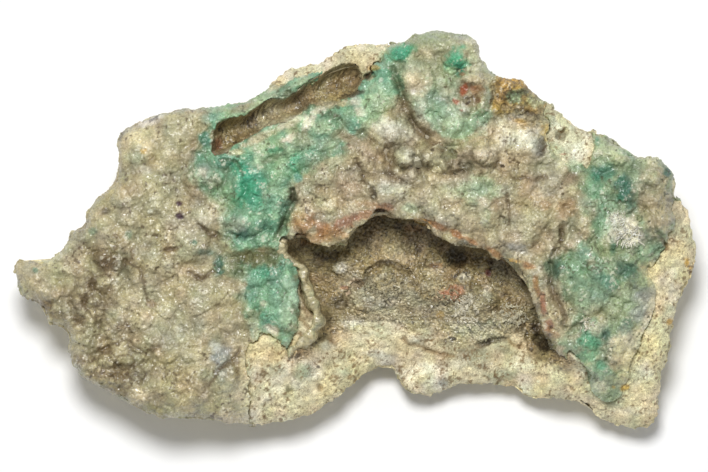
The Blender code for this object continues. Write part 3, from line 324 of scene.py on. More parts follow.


# The broad washes, and then the marks that lie over them. Some washes are painted light against shade: the
# tan wash at 8.2 -.4 and the light wash at 32.2 -6.4 in the vug under the hood's lip, and the palestraw
# washes at 66 -9.8 and 62.4 -21.8 on the right rim's bevel.
WASHES = patches("""
light -38.8 17.2 2.8 1.6 .3, -34.8 9.2 2.8 1.6 .25; straw -40.8 -5.8 2.8 2.4 .4;
light -44.4 -12.8 3.6 2.8 .35, -44.8 -21.8 4 2.8 .4; straw -36.8 -27.8 6 4 .35; ash -36.8 -19.8 4.8 3.2 .35,
-30.8 -12.8 4 2.8 .3, -25.8 -18.8 3.2 3.2 .35; frost -26.4 -23.8 2.4 3.6 .55; ash -23.8 -28.4 2 3.2 .4,
-28.4 -30.4 2.4 2.8 .3; olive -23.6 -14.8 2.4 2.4 .35, -21.8 -18.8 1.2 3.2 .4, -39.8 -35 4.8 1.2 .45 -8;
sage -24.8 -33.8 2.8 1.6 .3, -65.2 -10.4 2.4 2 .35; straw -65.2 -5.6 2.8 .8 .55 -5;
sage -58.8 -7.8 4 2.4 .2, -43.8 15.2 2.8 1.8 .35; cream -42.8 19.8 3.4 2.2 .65;
chalk -40.8 23.6 3.2 1.2 .9 25; dusk -54.8 -.8 2 2.6 .35; olive -50.8 -31.2 4 1 .35 -20;
mint -22.8 4.2 3 3.4 .6; emerald -21.2 9.6 3.2 4.8 .9; mint -18 11.6 2.6 2.2 .7;
emerald -22.8 12.8 2.4 2 .6; mint -16.8 6.8 3.2 2 .6; pine -22.8 .4 2.6 1.8 .8; teal -18 2.8 2 1.6 .5,
-15.6 2 2.2 1.8 .6 20; pine -13.8 4.8 1.2 2.6 .5 -20; umbergreen -20.8 -4 4.4 1.8 .75, -23.2 -6 2.8 2.2 .6;
emerald -17.2 -5.2 2.8 1.4 .4, -18.4 -7.4 2.2 1.4 .6; mint -13.8 -10.8 2.8 4 .75, -12.8 -16.8 1.8 3.4 .8;
emerald -18.8 -15.2 2.2 2.4 .5; mint -15.4 -20 2.4 1.6 .5; teal -29.8 19.2 1.6 1.8 .85;
mint -30.8 14.2 1.4 2.6 .6; pine -26.4 14.8 2.2 1.6 .6; dusk -25.6 13 1.4 1 .4;
paleteal -29.4 23.6 2.2 1.2 .5; cream -23.6 16.8 2.2 .8 .7 5; palemint -18.8 18 2.8 1 .7 15;
chalk -13.2 19.4 2.2 1 .9 20, -9.2 22.8 1.2 2.6 .9 -35, -6.8 25.4 2.6 .8 .65 25;
light -1.6 26.6 2.8 .8 .5 5; emerald -15.8 17.2 2.6 .8 .6 8; mint -14.8 20 1.8 .8 .5 30;
teal -10.8 18 2 .8 .5; emerald -11.4 14.4 1.6 2.6 .75; ash -16.8 15.2 2.4 .8 .4 15;
dusk -4.8 22.2 2.8 2.6 .4; mint -4.6 22.4 2.4 2.2 .4; palemint -5.8 18.2 3.4 1.8 .5;
mint -.4 23.2 1.4 2 .75; chalk 1.4 24.8 1.4 1.2 .65, .6 26.8 1.4 1.4 .6; mint 6 29.6 2.2 2.6 .75;
palemint 4 27 2.8 2.4 .65; dusk 7.4 25 1.6 1.8 .35; sage -27.8 25.2 3 .8 .6 5, -22.4 26 2.8 .8 .6 8,
-14.4 28.2 3.2 .8 .5 5, -11.6 30.4 2.4 .8 .45 25; cream -15.8 30.4 2.4 1.2 .8 30, -10.4 33.2 2.8 1 .8 20,
-1.8 36.2 3.6 1.2 .95 5, 4.4 37.2 2.4 1.2 .9 5; rosy -2.8 13.2 4 2.8 .35, -.8 9.2 2.8 2.4 .4;
ash -9.2 14.2 2.4 2.4 .35; olive -6.8 9.2 3.2 1.6 .3; rosy 4.2 17.2 2.8 2.8 .3; umber 7 15.2 1.2 2.4 .4;
light 9.6 21.6 2.4 1.8 .5 -20; chalk 11.6 20 1.6 1.6 .45; straw 9.6 15.2 1.8 1.6 .5, 15.4 15 1.8 1.6 .5;
light 18.2 14.2 2 1.6 .3; chalk 6.2 9.4 1.6 1.6 .45; straw 9.6 8.2 2.6 1.6 .45; palemint 11.4 5.6 2 1.2 .4;
sage 14.6 5.2 2.8 1.2 .35; palemint 25.2 9.6 3.6 2 .4; sage 23.2 5.2 2.4 2 .35;
palemint 26.2 4.2 1.2 2.4 .35; dusk 22.2 14.2 1.6 1.4 .7; straw 26.2 16.8 2.4 2 .35;
chalk 33.6 19 3 2.4 .75, 36.4 18.8 1.6 2.2 .6; ash 30.2 18 2 2 .35, 33.2 13.4 3.6 1.2 .4;
chalk 36.4 9.2 2.6 1.6 .5; straw 33.2 7.2 2.8 1.6 .3; rosy 28.2 6.2 1.2 1.8 .5; sienna 38.2 6 1.6 1.2 .3,
42.4 5.6 2.8 2.6 .4; ash 35.6 3.8 2.4 2 .3; frost 32.8 -2.4 2.4 1.2 .5 -15; sienna -9.8 2.8 2.8 2.2 .8,
-5.6 1 2.8 1.8 .75; russet -1.8 2.8 2.8 1.6 .7 10, 2.4 4.4 2.8 1.2 .65 15, 6.4 5.8 2 .8 .5;
straw -10.8 4.4 1.8 1.8 .4, -3.8 -1 3 .8 .75 -5, -.4 -2 .8 1.8 .6 10; rosy 40.6 -12 1.8 5.2 .4 8;
sage 41.6 -18.4 1.8 3.2 .3; light 12.6 30.6 2.8 3.4 .75; chalk 13.2 24.8 1.6 2.4 .3;
mint 17.2 24.4 2.4 3.4 .6, 20.4 21.4 4 1.4 .8 5, 25 23.6 2.4 1.8 .65 25, 15.8 27.6 1.6 2 .4;
rosy 22.8 28.2 3.8 3.4 .65; light 24 31.2 2.8 1.8 .55; chalk 21.4 24.8 2.2 1.2 .5 15;
emerald 9.8 36.8 2.8 1.8 .9 10; mint 6.4 35.4 1.6 1.2 .6 20, 20.2 35.2 2 2 .85; sage 15.2 38.2 3.2 1.8 .5,
19.2 40 3.6 1.6 .45, 24.4 37.2 1.8 2.6 .5; dusk 14.2 35 2.8 .8 .35, 8.4 32 1 2.8 .4;
limonite 32.4 30.4 3 1.8 .8 -10; umber 29 28.8 1.8 2.2 .55; mint 31.8 27.8 1.8 1.6 .75;
limonite 34.8 27.2 1 1.8 .7; tan 31.2 25.6 2.8 .8 .6; bister 34.2 24.2 3 1.2 .85 -25;
palemint 36.2 27.2 2 1.8 .6 -40; sage 39 23.8 1.8 1.8 .55; palestraw 41.6 23.4 2 1 .7 -40;
bister 37.4 18 1.2 2 .75; dusk 41.8 20.2 1.4 1.2 .6; cream 44.4 20 2 2.4 .6; chalk 45.4 17.2 2 2.4 .6;
cream 41.2 15.2 1.6 2.4 .5; palemint 44.4 14 2 1.6 .6; umber 43.2 11.4 2.4 1.6 .45;
ash 39.6 11.2 1.8 1.8 .4; palemint 51.4 17.4 2.8 1.4 .4 -20; teal 50.2 12.8 2.4 1.8 .7;
pine 54.2 9.2 2.4 3 .9 10, 55.6 6 1.6 2.2 .6; emerald 51.4 7 2.4 2.2 .25, 47.8 10 2.8 2.8 .4;
mint 46.4 6.8 2 2.8 .35; emerald 49.4 2 2.2 4 .3; pine 51.8 -2 1 2.8 .65; mint 45.6 -6.4 4.8 4.8 .6;
pine 40.2 -7.2 1.4 3 .65 -10, 41.4 -11 1.6 2.4 .45; mint 49.2 -10.4 3.2 2.6 .4;
emerald 47.2 -21 3.2 2.6 .75; pine 50.4 -19.4 1.2 2.2 .7; emerald 46.4 -24.2 2.2 1.6 .5,
49.4 -26 1.6 1.2 .5; ash 52.2 -23.2 2.4 4 .6; frost 54.4 -19.2 2.2 2.4 .5, 56.4 -15.6 2 2 .5;
pine 54.8 -17 1.2 1.2 .5; frost 57.6 -12.8 2 1.6 .4; pine 54.8 -6.8 2.8 2.4 .7; teal 51.6 -9.4 2 1.6 .6;
slate 58.4 -11.2 2.4 1.8 .6; chalk 53.6 2.8 2.8 1.6 .7 -10, 55.4 .2 2.8 2 .8 -25; ash 59.2 10.8 3.6 4.4 .5;
tan 62.4 4 2.8 3.2 .4; palestraw 64.4 10.2 .8 2.6 .8; dusk 60.2 -1 2.8 1.8 .4; chalk 49.4 -29.8 2.4 1.6 .5;
dusk 47.6 -27.8 1.6 1.4 .35; palestraw 60.4 -7.2 2 2 .9 -25, -17.2 -22 2.8 4 .6; chalk 6.4 -25 2.8 1.6 .75,
13.4 -27.2 3.4 1.6 .75, -4.6 -33 2.8 1.4 .5 25, 2.4 -19 2.8 2 .5; sage -9.8 -27.4 2.6 1.8 .7;
palemint -.8 -26.8 2.8 1 .3 15; ash 6.4 -9 2.6 2.8 .65; frost 4 -12 2.4 1.2 .5 10; ash 9.6 -11 2.8 2.4 .4,
25.6 -12.8 4.4 4 .55; sage 24.4 -19 4 2 .6, 29.4 -17 3.2 2.4 .5; umber 30.2 -6.4 4 2 .5 -30;
rust 19.4 -12 2.6 1.8 .7, 16.6 -12.2 1 1.4 .35; sage 30.2 -28 4 1 .6; straw 25.2 -15.2 1.8 .8 .5;
redbrown -27.4 18 1.2 1.8 .7; straw -24.4 22 3 1.6 .3 20; dusk -10.4 26.4 1.6 2.2 .45; tan -1.2 32 2 1.6 .3;
palestraw 41.2 -28.8 5.2 1.6 .3; chalk 57.2 -35.2 3.6 1 .35; glass 1.6 -11.6 5.4 4 .8 20, 9 -14 7 4 .75;
cream 4 -17 8 3.4 .8 10; glass 20 -14 5 4 .6; greystone 14 -17 8 3 .7; cream 24 -20 8 2.4 .6;
russet 19.4 -12 2.8 2.2 .55; greystone 60.4 6 5.2 7.2 .75; light 54.2 -23.8 3.2 5.2 .7;
chalk 33.2 19.6 4.8 2.2 .6 10; palemint 4.8 26.8 3.6 3.6 .7, -15.2 -13.8 4 5 .3; chalk 54.8 .8 2.8 2.6 .6;
light 12.8 30.4 2.8 2.6 .6, 11.2 15.6 2.4 2.4 .9; ash 24.2 -23.8 9 3 .55; cream -22 -32.4 1.6 3.6 .5;
light -19.4 -28.4 1.4 6.8 .5, -18.4 20 5.2 1 .8 25; chalk -12.8 22.8 3.6 1 .7 25;
light -6.4 26 2.8 1.4 .6 25; ash -10.4 19.2 3 2.2 .55; palemint -6.4 21.6 2.4 2 .6;
umber -22.8 20.8 4.8 2 .35 25, -11.8 26.4 4.8 2.4 .35 25, -1.8 31.2 4.8 2.4 .45 25;
olive -17.6 -4 4.4 2.6 .55; palemint -13 -13.6 2.2 6 .6 5; stone -20 -16.4 1.8 3.2 .6;
straw -4.8 -2.2 4.8 1 .75 5; sienna -6.4 -.2 5.6 1.6 .55 8; glass 7.2 -10.8 4.4 3.2 .5;
tan 8.2 -.4 9.6 3.2 .5; light 32.2 -6.4 4.4 3.6 .45; cream 54.8 -24 3.2 4.8 .6 10;
palestraw 66 -9.8 1.8 10 .7, 62.4 -21.8 3.2 12 .7; ash -23.2 25.6 4.4 1.2 .6 25;
light 40.2 -13.4 1.8 5.2 .5; slate -26.4 -25.8 2.4 4 .6; straw 34.2 23.6 2.8 1.2 .5 -25;
stone 23.4 28.6 3.8 3.2 .75; greystone 26.4 31.6 2 1.6 .5; umber -9.6 -12.8 1.4 5.2 .6 10;
sienna 11.2 1.6 2.8 1 .5 -20; straw 13.2 0 2.8 .8 .5 -20; vugbrown -6.8 -9.8 4.4 8 .5;
ash 24.2 -21.8 9 3.6 .5; emerald -20 9.6 3 3 .6; frost -22.8 2.4 1.8 2.6 .4; umber -19.2 -4.2 5.6 2.2 .35;
palemint 20.2 22.4 6 2.6 .6 -15; emerald 21 34.8 2.2 2.4 .5; glass 8.6 21.2 2.4 2.4 .6;
light 10.2 15.8 1.8 1.8 .6, 16.4 15.6 2.4 2.2 .5; straw 16.4 16 1.2 1 .4; light 26.2 16.8 2.4 2.2 .5;
tan -6.8 -22.4 12 4.8 .3, 15.2 -23.2 14 4 .3 5; chalk .2 -17.2 2.6 1.6 .65, 4.2 -23.6 2.6 1 .7,
14.8 -26.8 2.8 1.2 .6, -4.8 -22 1.8 1.2 .5, 9.6 -27.6 1.6 1.2 .5; sage -9.8 -26.4 1.6 1.2 .5;
emerald 20.8 35 2.6 3 .6; tealblue 21 33.6 1.4 1.4 .5; emerald 8.6 36.6 3.2 1.8 .6;
palemint 19.6 23.2 4.8 3.4 .5 -15; rust 19.8 -11.6 2.8 1.8 .5 -10; glass 4 -11.2 2.2 2 .45;
frost 6.8 -13.2 3.2 1.6 .35 20; chalk 22.4 -15.4 1.6 1.8 .5; vugbrown -18.8 25.2 11 2.4 .3 -30;
umber -10.8 27.8 11 1.2 .3 -28; chalk 31.2 22 3.6 2.8 .45, 27.2 17.2 3.6 1.6 .35 10, 6 21.6 2.8 1.8 .5,
9.6 9.2 1.8 2.4 .4; light 15.2 8.2 4 2.4 .35; palemint 24.8 9.2 4.8 2.8 .5; rosy 34.8 9.2 2.8 2 .35;
chalk 53.6 1.6 3.2 3.6 .6 -35; light 11 15.6 2 2.2 .7; chalk 11 16.2 1.2 1.2 .5; glass -2.6 -6.2 1.8 1.8 .7;
sienna 3.6 5.8 4.4 1.2 .4 -15; tan -.8 35.6 6.8 1.8 .35 -12; stone 15.6 -23.2 14 3.4 .3 5,
-.8 -17.8 7.2 3.2 .3; tan -16.4 -26.8 4 6 .3; chalk .2 -17.2 2 1.2 .5, 14.8 -26.4 2.4 1.2 .5;
vugbrown 5.2 -9 4.4 2.8 .5; chalk 64.4 -12.8 1.4 6 .35; emerald 20.2 34.4 2.8 2.6 .4;
stone -8.4 -21.4 1.6 2.4 .4 -30; sage -23.2 2.2 2 2 .4; umbergreen -20.8 -4 5.2 2.4 .3;
frost -29.8 12.8 1.6 2.4 .5; tan 38.2 -18.8 2.4 2.4 .4
""")
# Some marks are painted light and shade: the chalk mark at -2.8 -6.4 lightens a bead in the hood's shade, the
# bister mark at 38.2 -21.8 is a painted shadow in the vug's right pocket, and the umber marks on the left
# crust darken its hollows, as brown stain and painted shade.
MARKS = patches("""
umber -49.2 -5.4 2.8 2.2 .8, -45.4 -5 1.6 1.2 .7 30, -44.4 -3.2 .6 1 .6, -47.8 -2.4 .8 .8 .6,
-52.8 -9.4 1.6 1.8 .65, -49.8 -11 1.8 1.2 .55, -54 -13 1 2.2 .6, -55.2 -16.6 1.6 1.4 .75,
-58.8 -16 2.8 1 .6 -10, -62 -13.8 1.6 1.2 .65, -53.8 -24.8 2.8 1.6 .5, -49.6 -22.8 2.2 1 .55,
-45.6 -27.4 3.2 2.2 .5, -42.6 -28.8 1.4 2 .55, -48.2 -30.8 4 1 .45 -20, -36.8 -2.6 2 .6 .65 -10,
-31.4 -8.2 1.8 .8 .6 20, -47.8 0 1 .6 .6; bister -30 1.6 1.2 .5 .8 -30, -49.6 5 1 .8 .6;
umber -27.8 .2 2 .6 .5 -30; redbrown -40.4 -13.4 1.4 1 .5; umber -24.8 -25.8 2.4 .6 .5 20,
-23.2 -27.2 .6 2.4 .5, -47.2 -21.8 .8 .4 .6, -36.8 -21.8 4 .6 .3 5, -40.4 -22.8 1.2 .6 .5;
purple -35 6.6 .8 .7 .95, -35.2 4 1.1 1 .95; straw -33.2 4.8 .8 .8 .6; teal -64 -6.8 .8 .8 .6,
-52.4 1 1.2 .8 .4, -45.2 .2 1 1 .45, -32 -1.2 1 .8 .7; pine -29.6 -3.2 2.6 1 .55, -27 -5.6 1.6 2.4 .85;
teal -20.4 -12 1.6 1 .5; bister -46.4 20.6 .4 2 .6 -25, -39.8 23.8 1.8 .3 .7 40, -34.8 25.6 2.8 .3 .5 12;
ochre -42.2 17 .8 .6 .55; chalk -41.6 13 1.6 1 .5, -27.8 -21.8 .8 1.6 .4 30, -40.8 4.8 .6 .5 .7,
-30.2 12.6 1.2 1.2 .6; ash -27.8 11 1.8 1.2 .5; umber -32.2 16.8 .4 2.8 .4; tealblue -11.2 11.6 1.2 1.2 .6;
palemint -13.8 8.4 1.4 1.2 .6; chalk -18 -13.4 1 1 .6; rosy -18.4 -14.4 1 1.2 .3;
chalk -16.6 -18.8 1.8 1 .5 -30; tan -18.4 -2.6 1.6 .8 .5; bister -12.2 7.8 .5 1 .8, -14.6 2 .6 2.2 .55 -15;
chalk 5.4 31.4 .6 .6 .6; rosy 3.4 31.8 1.2 .6 .6 25; ochre 4.2 33.6 1.2 .6 .6; bister -1.2 18.4 .5 .5 .8;
rosy -1.8 17.8 1.4 1 .5; light -3.8 15 1.4 1 .7; bister -.8 13.4 .32 .28 .8, -6.6 10 .8 .32 .7 -15,
7.2 12.6 1.4 .8 .6 10; chalk 6.2 23.8 1.2 1 .5; bister 12.8 14.2 .32 1.2 .85, 15.6 17.2 .48 .4 .85,
14.8 13.4 .8 .4 .6, 4 9 .4 1.4 .7 20, 29.6 14 .44 .36 .9, 41.2 0 .4 2.4 .6 5; ochre 13.4 2.8 1.8 .5 .7 -18;
sienna 16.6 2 2.6 .7 .85 -22, 20.4 .4 2 .7 .85 -35, 23.4 -1 1.6 .7 .75 -30, 28.2 -3.4 2.4 .8 .7 -35;
ochre 31.8 -5 2 .6 .75 -12; sienna 35 -6 1.6 .8 .7 -10, 36.4 -9.8 .8 2.8 .8 8; russet 37.8 -14 .8 2.8 .8 8,
38.8 -17.8 1 1.6 .8; rosy 40 -19.8 1.8 .8 .8; chalk 11.8 28.8 .6 .6 .95; redspot 21.8 29.2 .9 1.2 .9 -15,
20.2 27 .8 1 .7 30, 21.4 25 .6 .4 .6, 23.6 29.6 1 .5 .4; redbrown 24.6 27 .8 .6 .7 40;
redspot 21.6 32.4 .8 .5 .5; bister 22.8 26.6 1 .4 .95 35, 22.4 27.6 .8 .4 .6, 23.6 30.4 .8 .4 .5;
palemint 19.6 33 1.2 .8 .7; limonite 29.2 32 1 .8 .8, 33.2 23 1.2 .5 .7; mint 33.4 28.8 1.6 .8 .5;
redspot 41.8 16.4 .8 .24 .7; teal 48.6 19.2 .8 1 .7; rosy 47.4 -5.2 1 .8 .45; umber 44.4 -18 1.8 1 .5 20;
pine 63 12.8 1 1 .9; ochre 66.8 -5.2 .7 1.2 .95 10, 67.6 -6.4 .4 .6 .8, 63.6 -17.4 .8 .9 .9,
54.4 -30.4 1.2 .8 .85 15, 52 -30.2 .6 .5 .6; bister 63.6 7.2 1 .4 .5; umber 56.4 -23.2 .6 .6 .6;
bister 2.8 32 1 .8 .95 30, 0 28.4 2.6 .6 .75 15; chalk -2.8 -6.4 1.6 1.4 .9, 23.2 -13.2 1 1.8 .8 -20,
26.8 -11.2 1 1.8 .8 20, 22.2 -8.2 1.6 1 .5, 5.4 -8.2 1.6 .6 .4 30; ochre 17.2 -15.8 .8 .8 .6;
sienna 16.6 -5.8 1.4 .6 .5; redbrown .4 -9.4 1.4 1 .5; garnet 27 -7.4 .8 .9 .95; black 20.4 -4 2 2.4 .6,
22 -1.6 1.2 1 .8 -30; bister 9.2 2 1.6 .8 .6, 5.2 4.8 2 .6 .7 -10, 38.2 -21.8 2.2 1.6 .85 -25,
36.4 -18.8 1 1.8 .8 20, 36.2 -14.4 1.2 1 .6, -11.2 -24 1.6 .8 .8 20, -12.8 -.4 2 .6 .6,
-2.8 -13.4 2.4 1.6 .5, -4.8 -16.4 1.2 1.6 .6 -20, 6.2 -5.4 1.8 .6 .6; redspot -1.8 -10.4 1 .4 .5;
umber -6.8 -30.4 .8 .8 .5; dusk -13.2 -31 .8 .8 .6; bister -7.2 -26.2 .4 .32 .8; slate 18 -29.2 1 1 .5;
umber 25.2 -22.4 2.8 .6 .4 25; sienna 61.2 -14.4 1.2 1.6 .2; rust 21.8 29 .8 1.8 .9 -25,
20.6 26.8 .6 .8 .8 -20; chalk 21.8 26.2 .6 .6 .6; umber 24.4 27.4 .8 1 .7; sienna 24.8 29.2 1.4 1 .5
""")


# Plane geometry in face coordinates


def smoothstep(value: Array, low: float, high: float) -> Array:
    """0 below low, 1 above high, and an S-shaped rise, 3t² - 2t³, between them."""
    t = np.clip((value - low) / (high - low), 0.0, 1.0)
    return t * t * (3.0 - 2.0 * t)


def rounded(outline: Points, steps: int = 3) -> Array:
    """A closed Catmull-Rom curve through the outline's points.

    Args:
        outline: the corner points, in order.
        steps: how many points each span is given.

    Returns:
        The curve's points, one row each.
    """
    p1 = np.array(outline, float)
    p0, p2, p3 = np.roll(p1, 1, 0), np.roll(p1, -1, 0), np.roll(p1, -2, 0)
    t = (np.arange(steps) / steps)[:, None, None]
    curve = 2 * p1 + (p2 - p0) * t + (2 * p0 - 5 * p1 + 4 * p2 - p3) * t**2
    curve = 0.5 * (curve + (3 * p1 - p0 - 3 * p2 + p3) * t**3)
    return curve.transpose(1, 0, 2).reshape(-1, 2)


def turned(x: Array, y: Array, cx: float, cy: float, rx: float, ry: float, turn: float) -> Array:
    """Distance from an ellipse's centre, where 1 is on the ellipse."""
    angle = math.radians(turn)
    across = (x - cx) * math.cos(angle) + (y - cy) * math.sin(angle)
    along = (y - cy) * math.cos(angle) - (x - cx) * math.sin(angle)
    return np.hypot(across / rx, along / ry)


def swell(x: Array, y: Array, swells: dict[str, tuple]) -> Array:
    """The sum of broad bells, each its rise times exp(-r²)."""
    total = np.zeros(np.shape(x))
    for *ellipse, rise in swells.values():
        total += rise * np.exp(-turned(x, y, *ellipse) ** 2)
    return total


def lobes(x: Array, y: Array, domes: list[tuple]) -> Array:
    """The highest of the domes over each point, each its rise times sqrt(1 - r²)."""
    top = np.zeros(np.shape(x))
    for *ellipse, rise in domes:
        r = np.minimum(turned(x, y, *ellipse), 1.0)
        top = np.maximum(top, rise * np.sqrt(1.0 - r * r))
    return top


def feet(x: Array, y: Array, domes: list[tuple]) -> Array:
    """How near each point is to the foot of a dome: exp(-((r - 1) / 0.17)²)."""
    top = np.zeros(np.shape(x))
    for *ellipse, _ in domes:
        top = np.maximum(top, np.exp(-(((turned(x, y, *ellipse) - 1.0) / 0.17) ** 2)))
    return top


def spots(x: Array, y: Array, areas: list[tuple]) -> Array:
    """The strongest of the soft areas over each point, each its share times exp(-r⁴)."""
    top = np.zeros(np.shape(x))
    for *ellipse, share in areas:
        top = np.maximum(top, share * np.exp(-turned(x, y, *ellipse) ** 4))
    return top


def path_distance(x: Array, y: Array, path: Points) -> Array:
    """Distance from each point to an open path of straight spans."""
    nearest = np.full(np.shape(x), np.inf)
    for (ax, ay), (bx, by) in zip(path, path[1:]):
        dx, dy = bx - ax, by - ay
        t = np.clip(((x - ax) * dx + (y - ay) * dy) / (dx * dx + dy * dy), 0.0, 1.0)
        nearest = np.minimum(nearest, np.hypot(x - ax - t * dx, y - ay - t * dy))
    return nearest


# Seeded noise, the same on every run and in every piece


def lattice(column: Array, row: Array, seed: int, layer: Array | int = 0) -> Array:
    """A repeatable number from 0 to 1 for each whole lattice point."""
    n = np.asarray(column).astype(np.int64) * 374761393 + np.asarray(row).astype(np.int64) * 668265263
    n = n + np.asarray(layer).astype(np.int64) * 2147483647 + seed * 982451653
    n = (n ^ (n >> 13)) * 1274126177 & 0x7FFFFFFF
    return ((n ^ (n >> 16)) & 0xFFFFFF) / float(0xFFFFFF)


def rolling(x: Array, y: Array, cell: float, seed: int) -> Array:
    """Smooth noise from -1 to 1, with hills about a cell apart."""
    u, v = x / cell, y / cell
    column, row = np.floor(u), np.floor(v)
    fu, fv = smoothstep(u - column, 0, 1), smoothstep(v - row, 0, 1)
    low = lattice(column, row, seed) * (1 - fu) + lattice(column + 1, row, seed) * fu
    high = lattice(column, row + 1, seed) * (1 - fu) + lattice(column + 1, row + 1, seed) * fu
    return 2.0 * (low * (1 - fv) + high * fv) - 1.0


def rolling_solid(p: Array, cell: float, seed: int) -> Array:
    """Smooth noise from -1 to 1 through space, blended from a cell's eight corners.

    Args:
        p: the points.
        cell: the corners' spacing.
        seed: which noise.

    Returns:
        The noise at each point.
    """
    q = p / cell
    base = np.floor(q)
    f = smoothstep(q - base, 0, 1)
    total = np.zeros(p.shape[:-1])
    for corner in range(8):
        i, j, k = corner & 1, corner >> 1 & 1, corner >> 2
        share = (f[..., 0] if i else 1 - f[..., 0]) * (f[..., 1] if j else 1 - f[..., 1])
        share = share * (f[..., 2] if k else 1 - f[..., 2])
        total += share * lattice(base[..., 0] + i, base[..., 1] + j, seed, base[..., 2] + k)
    return 2.0 * total - 1.0


def packed(x: Array, y: Array, cell: float, seed: int) -> tuple[Array, Array, Array, Array, Array, Array]:
    """The nearest centre of a jittered grid of cells.

    Args:
        x, y: the points.
        cell: the cells' spacing.
        seed: which grid.

    Returns:
        The distance to the centre, how much further the next centre is, the offsets across
        and up from the nearest, and two numbers from 0 to 1 that belong to the cell.
    """
    column, row = np.floor(x / cell), np.floor(y / cell)
    nearest, runner = np.full(np.shape(x), np.inf), np.full(np.shape(x), np.inf)
    dx, dy, first, second = (np.zeros(np.shape(x)) for _ in range(4))
    for across in (-1, 0, 1):
        for up in (-1, 0, 1):
            one = lattice(column + across, row + up, seed)
            two = lattice(column + across, row + up, seed + 7)
            ox, oy = x - (column + across + one) * cell, y - (row + up + two) * cell
            distance = np.hypot(ox, oy)
            closer = distance < nearest
            runner = np.where(closer, nearest, np.minimum(runner, distance))
            nearest = np.where(closer, distance, nearest)
            dx, dy = np.where(closer, ox, dx), np.where(closer, oy, dy)
            first, second = np.where(closer, one, first), np.where(closer, two, second)
    return nearest, runner - nearest, dx, dy, first, second


def knobs(x: Array, y: Array, cell: float, seed: int) -> tuple[Array, Array]:
    """Close-packed round knobs.

    Args:
        x, y: the points.
        cell: the knobs' spacing.
        seed: which packing.

    Returns:
        The height, sqrt(1 - r²) from each centre and taller on some than on others, and how
        close the next knob is: 1 in the crease between two, 0 half a millimetre away.
    """
    nearest, gap, _, _, _, own = packed(x, y, cell, seed)
    r = np.minimum(nearest / (0.66 * cell), 1.0)
    return np.sqrt(1.0 - 0.96 * r * r) * (0.75 + 0.5 * own), 1.0 - smoothstep(gap, 0.0, 0.9)


def crystals(x: Array, y: Array, cell: float, seed: int, tilt: float) -> tuple[Array, Array]:
    """Close-packed crystal ends: each cell is one plane, tilted its own way.

    Args:
        x, y: the points.
        cell: the crystals' spacing.
        seed: which packing.
        tilt: the steepest slope of a crystal's end.

    Returns:
        The height, and a brightness from -1 to 1 that belongs to each crystal.
    """
    distance, _, dx, dy, first, second = packed(x, y, cell, seed)
    swing = 2.0 * math.pi * (first * 7.31 % 1.0)
    slope = tilt * (0.35 + 0.65 * (second * 5.17 % 1.0))
    height = slope * (dx * np.cos(swing) + dy * np.sin(swing)) - 0.45 * tilt * distance
    return height + 0.3 * tilt * cell * (first - 0.5), 2.0 * (second * 11.3 % 1.0) - 1.0


# Distances that many pieces ask for, kept on a raster


class Raster:
    """A function of the face kept at even nodes, and read between them."""

    LEFT, FRONT, SPACING, COLUMNS, ROWS = -80.0, -56.0, 0.5, 321, 227

    def __init__(self, values: Array) -> None:
        """Keeps the values, one row for each y."""
        self.values = values

    @classmethod
    def nodes(cls) -> tuple[Array, Array]:
        """The x and y of every node."""
        x = cls.LEFT + cls.SPACING * np.arange(cls.COLUMNS)
        y = cls.FRONT + cls.SPACING * np.arange(cls.ROWS)
        return np.meshgrid(x, y)

    def at(self, x: Array, y: Array) -> Array:
        """The value at each point, blended from the four nodes around it."""
        u = np.clip((x - self.LEFT) / self.SPACING, 0, self.COLUMNS - 1.001)
        v = np.clip((y - self.FRONT) / self.SPACING, 0, self.ROWS - 1.001)
        i, j = u.astype(int), v.astype(int)
        fu, fv = u - i, v - j
        low = self.values[j, i] * (1 - fu) + self.values[j, i + 1] * fu
        high = self.values[j + 1, i] * (1 - fu) + self.values[j + 1, i + 1] * fu
        return low * (1 - fv) + high * fv

    def wandering(self) -> "Raster":
        """The same distances with every border wandering a millimetre or so either way."""
        x, y = self.nodes()
        reach = 1.2 - spots(x, y, STEADY)
        across = reach * (rolling(x, y, 5.2, 97) + 0.33 * rolling(x, y, 2.3, 98))
        up = reach * (rolling(x, y, 5.2, 99) + 0.33 * rolling(x, y, 2.3, 100))
        return Raster(self.at(x + across, y + up))


def inside_raster(outline: Points) -> Raster:
    """Distance to a rounded outline, positive inside it, as a raster.

    Each node takes its least distance to the curve's spans, and a node is inside where a
    ray to its right crosses an odd number of them.
    """
    x, y = Raster.nodes()
    a = rounded(outline)
    nearest = np.full(x.shape, np.inf)
    inside = np.zeros(x.shape, bool)
    for (ax, ay), (bx, by) in zip(a, np.roll(a, -1, 0)):
        dx, dy = bx - ax, by - ay
        t = np.clip(((x - ax) * dx + (y - ay) * dy) / (dx * dx + dy * dy), 0.0, 1.0)
        nearest = np.minimum(nearest, (x - ax - t * dx) ** 2 + (y - ay - t * dy) ** 2)
        crosses = (ay > y) != (by > y)
        inside ^= crosses & (x < ax + (y - ay) * dx / (dy if dy else 1.0))
    nearest = np.sqrt(nearest)
    return Raster(np.where(inside, nearest, -nearest))


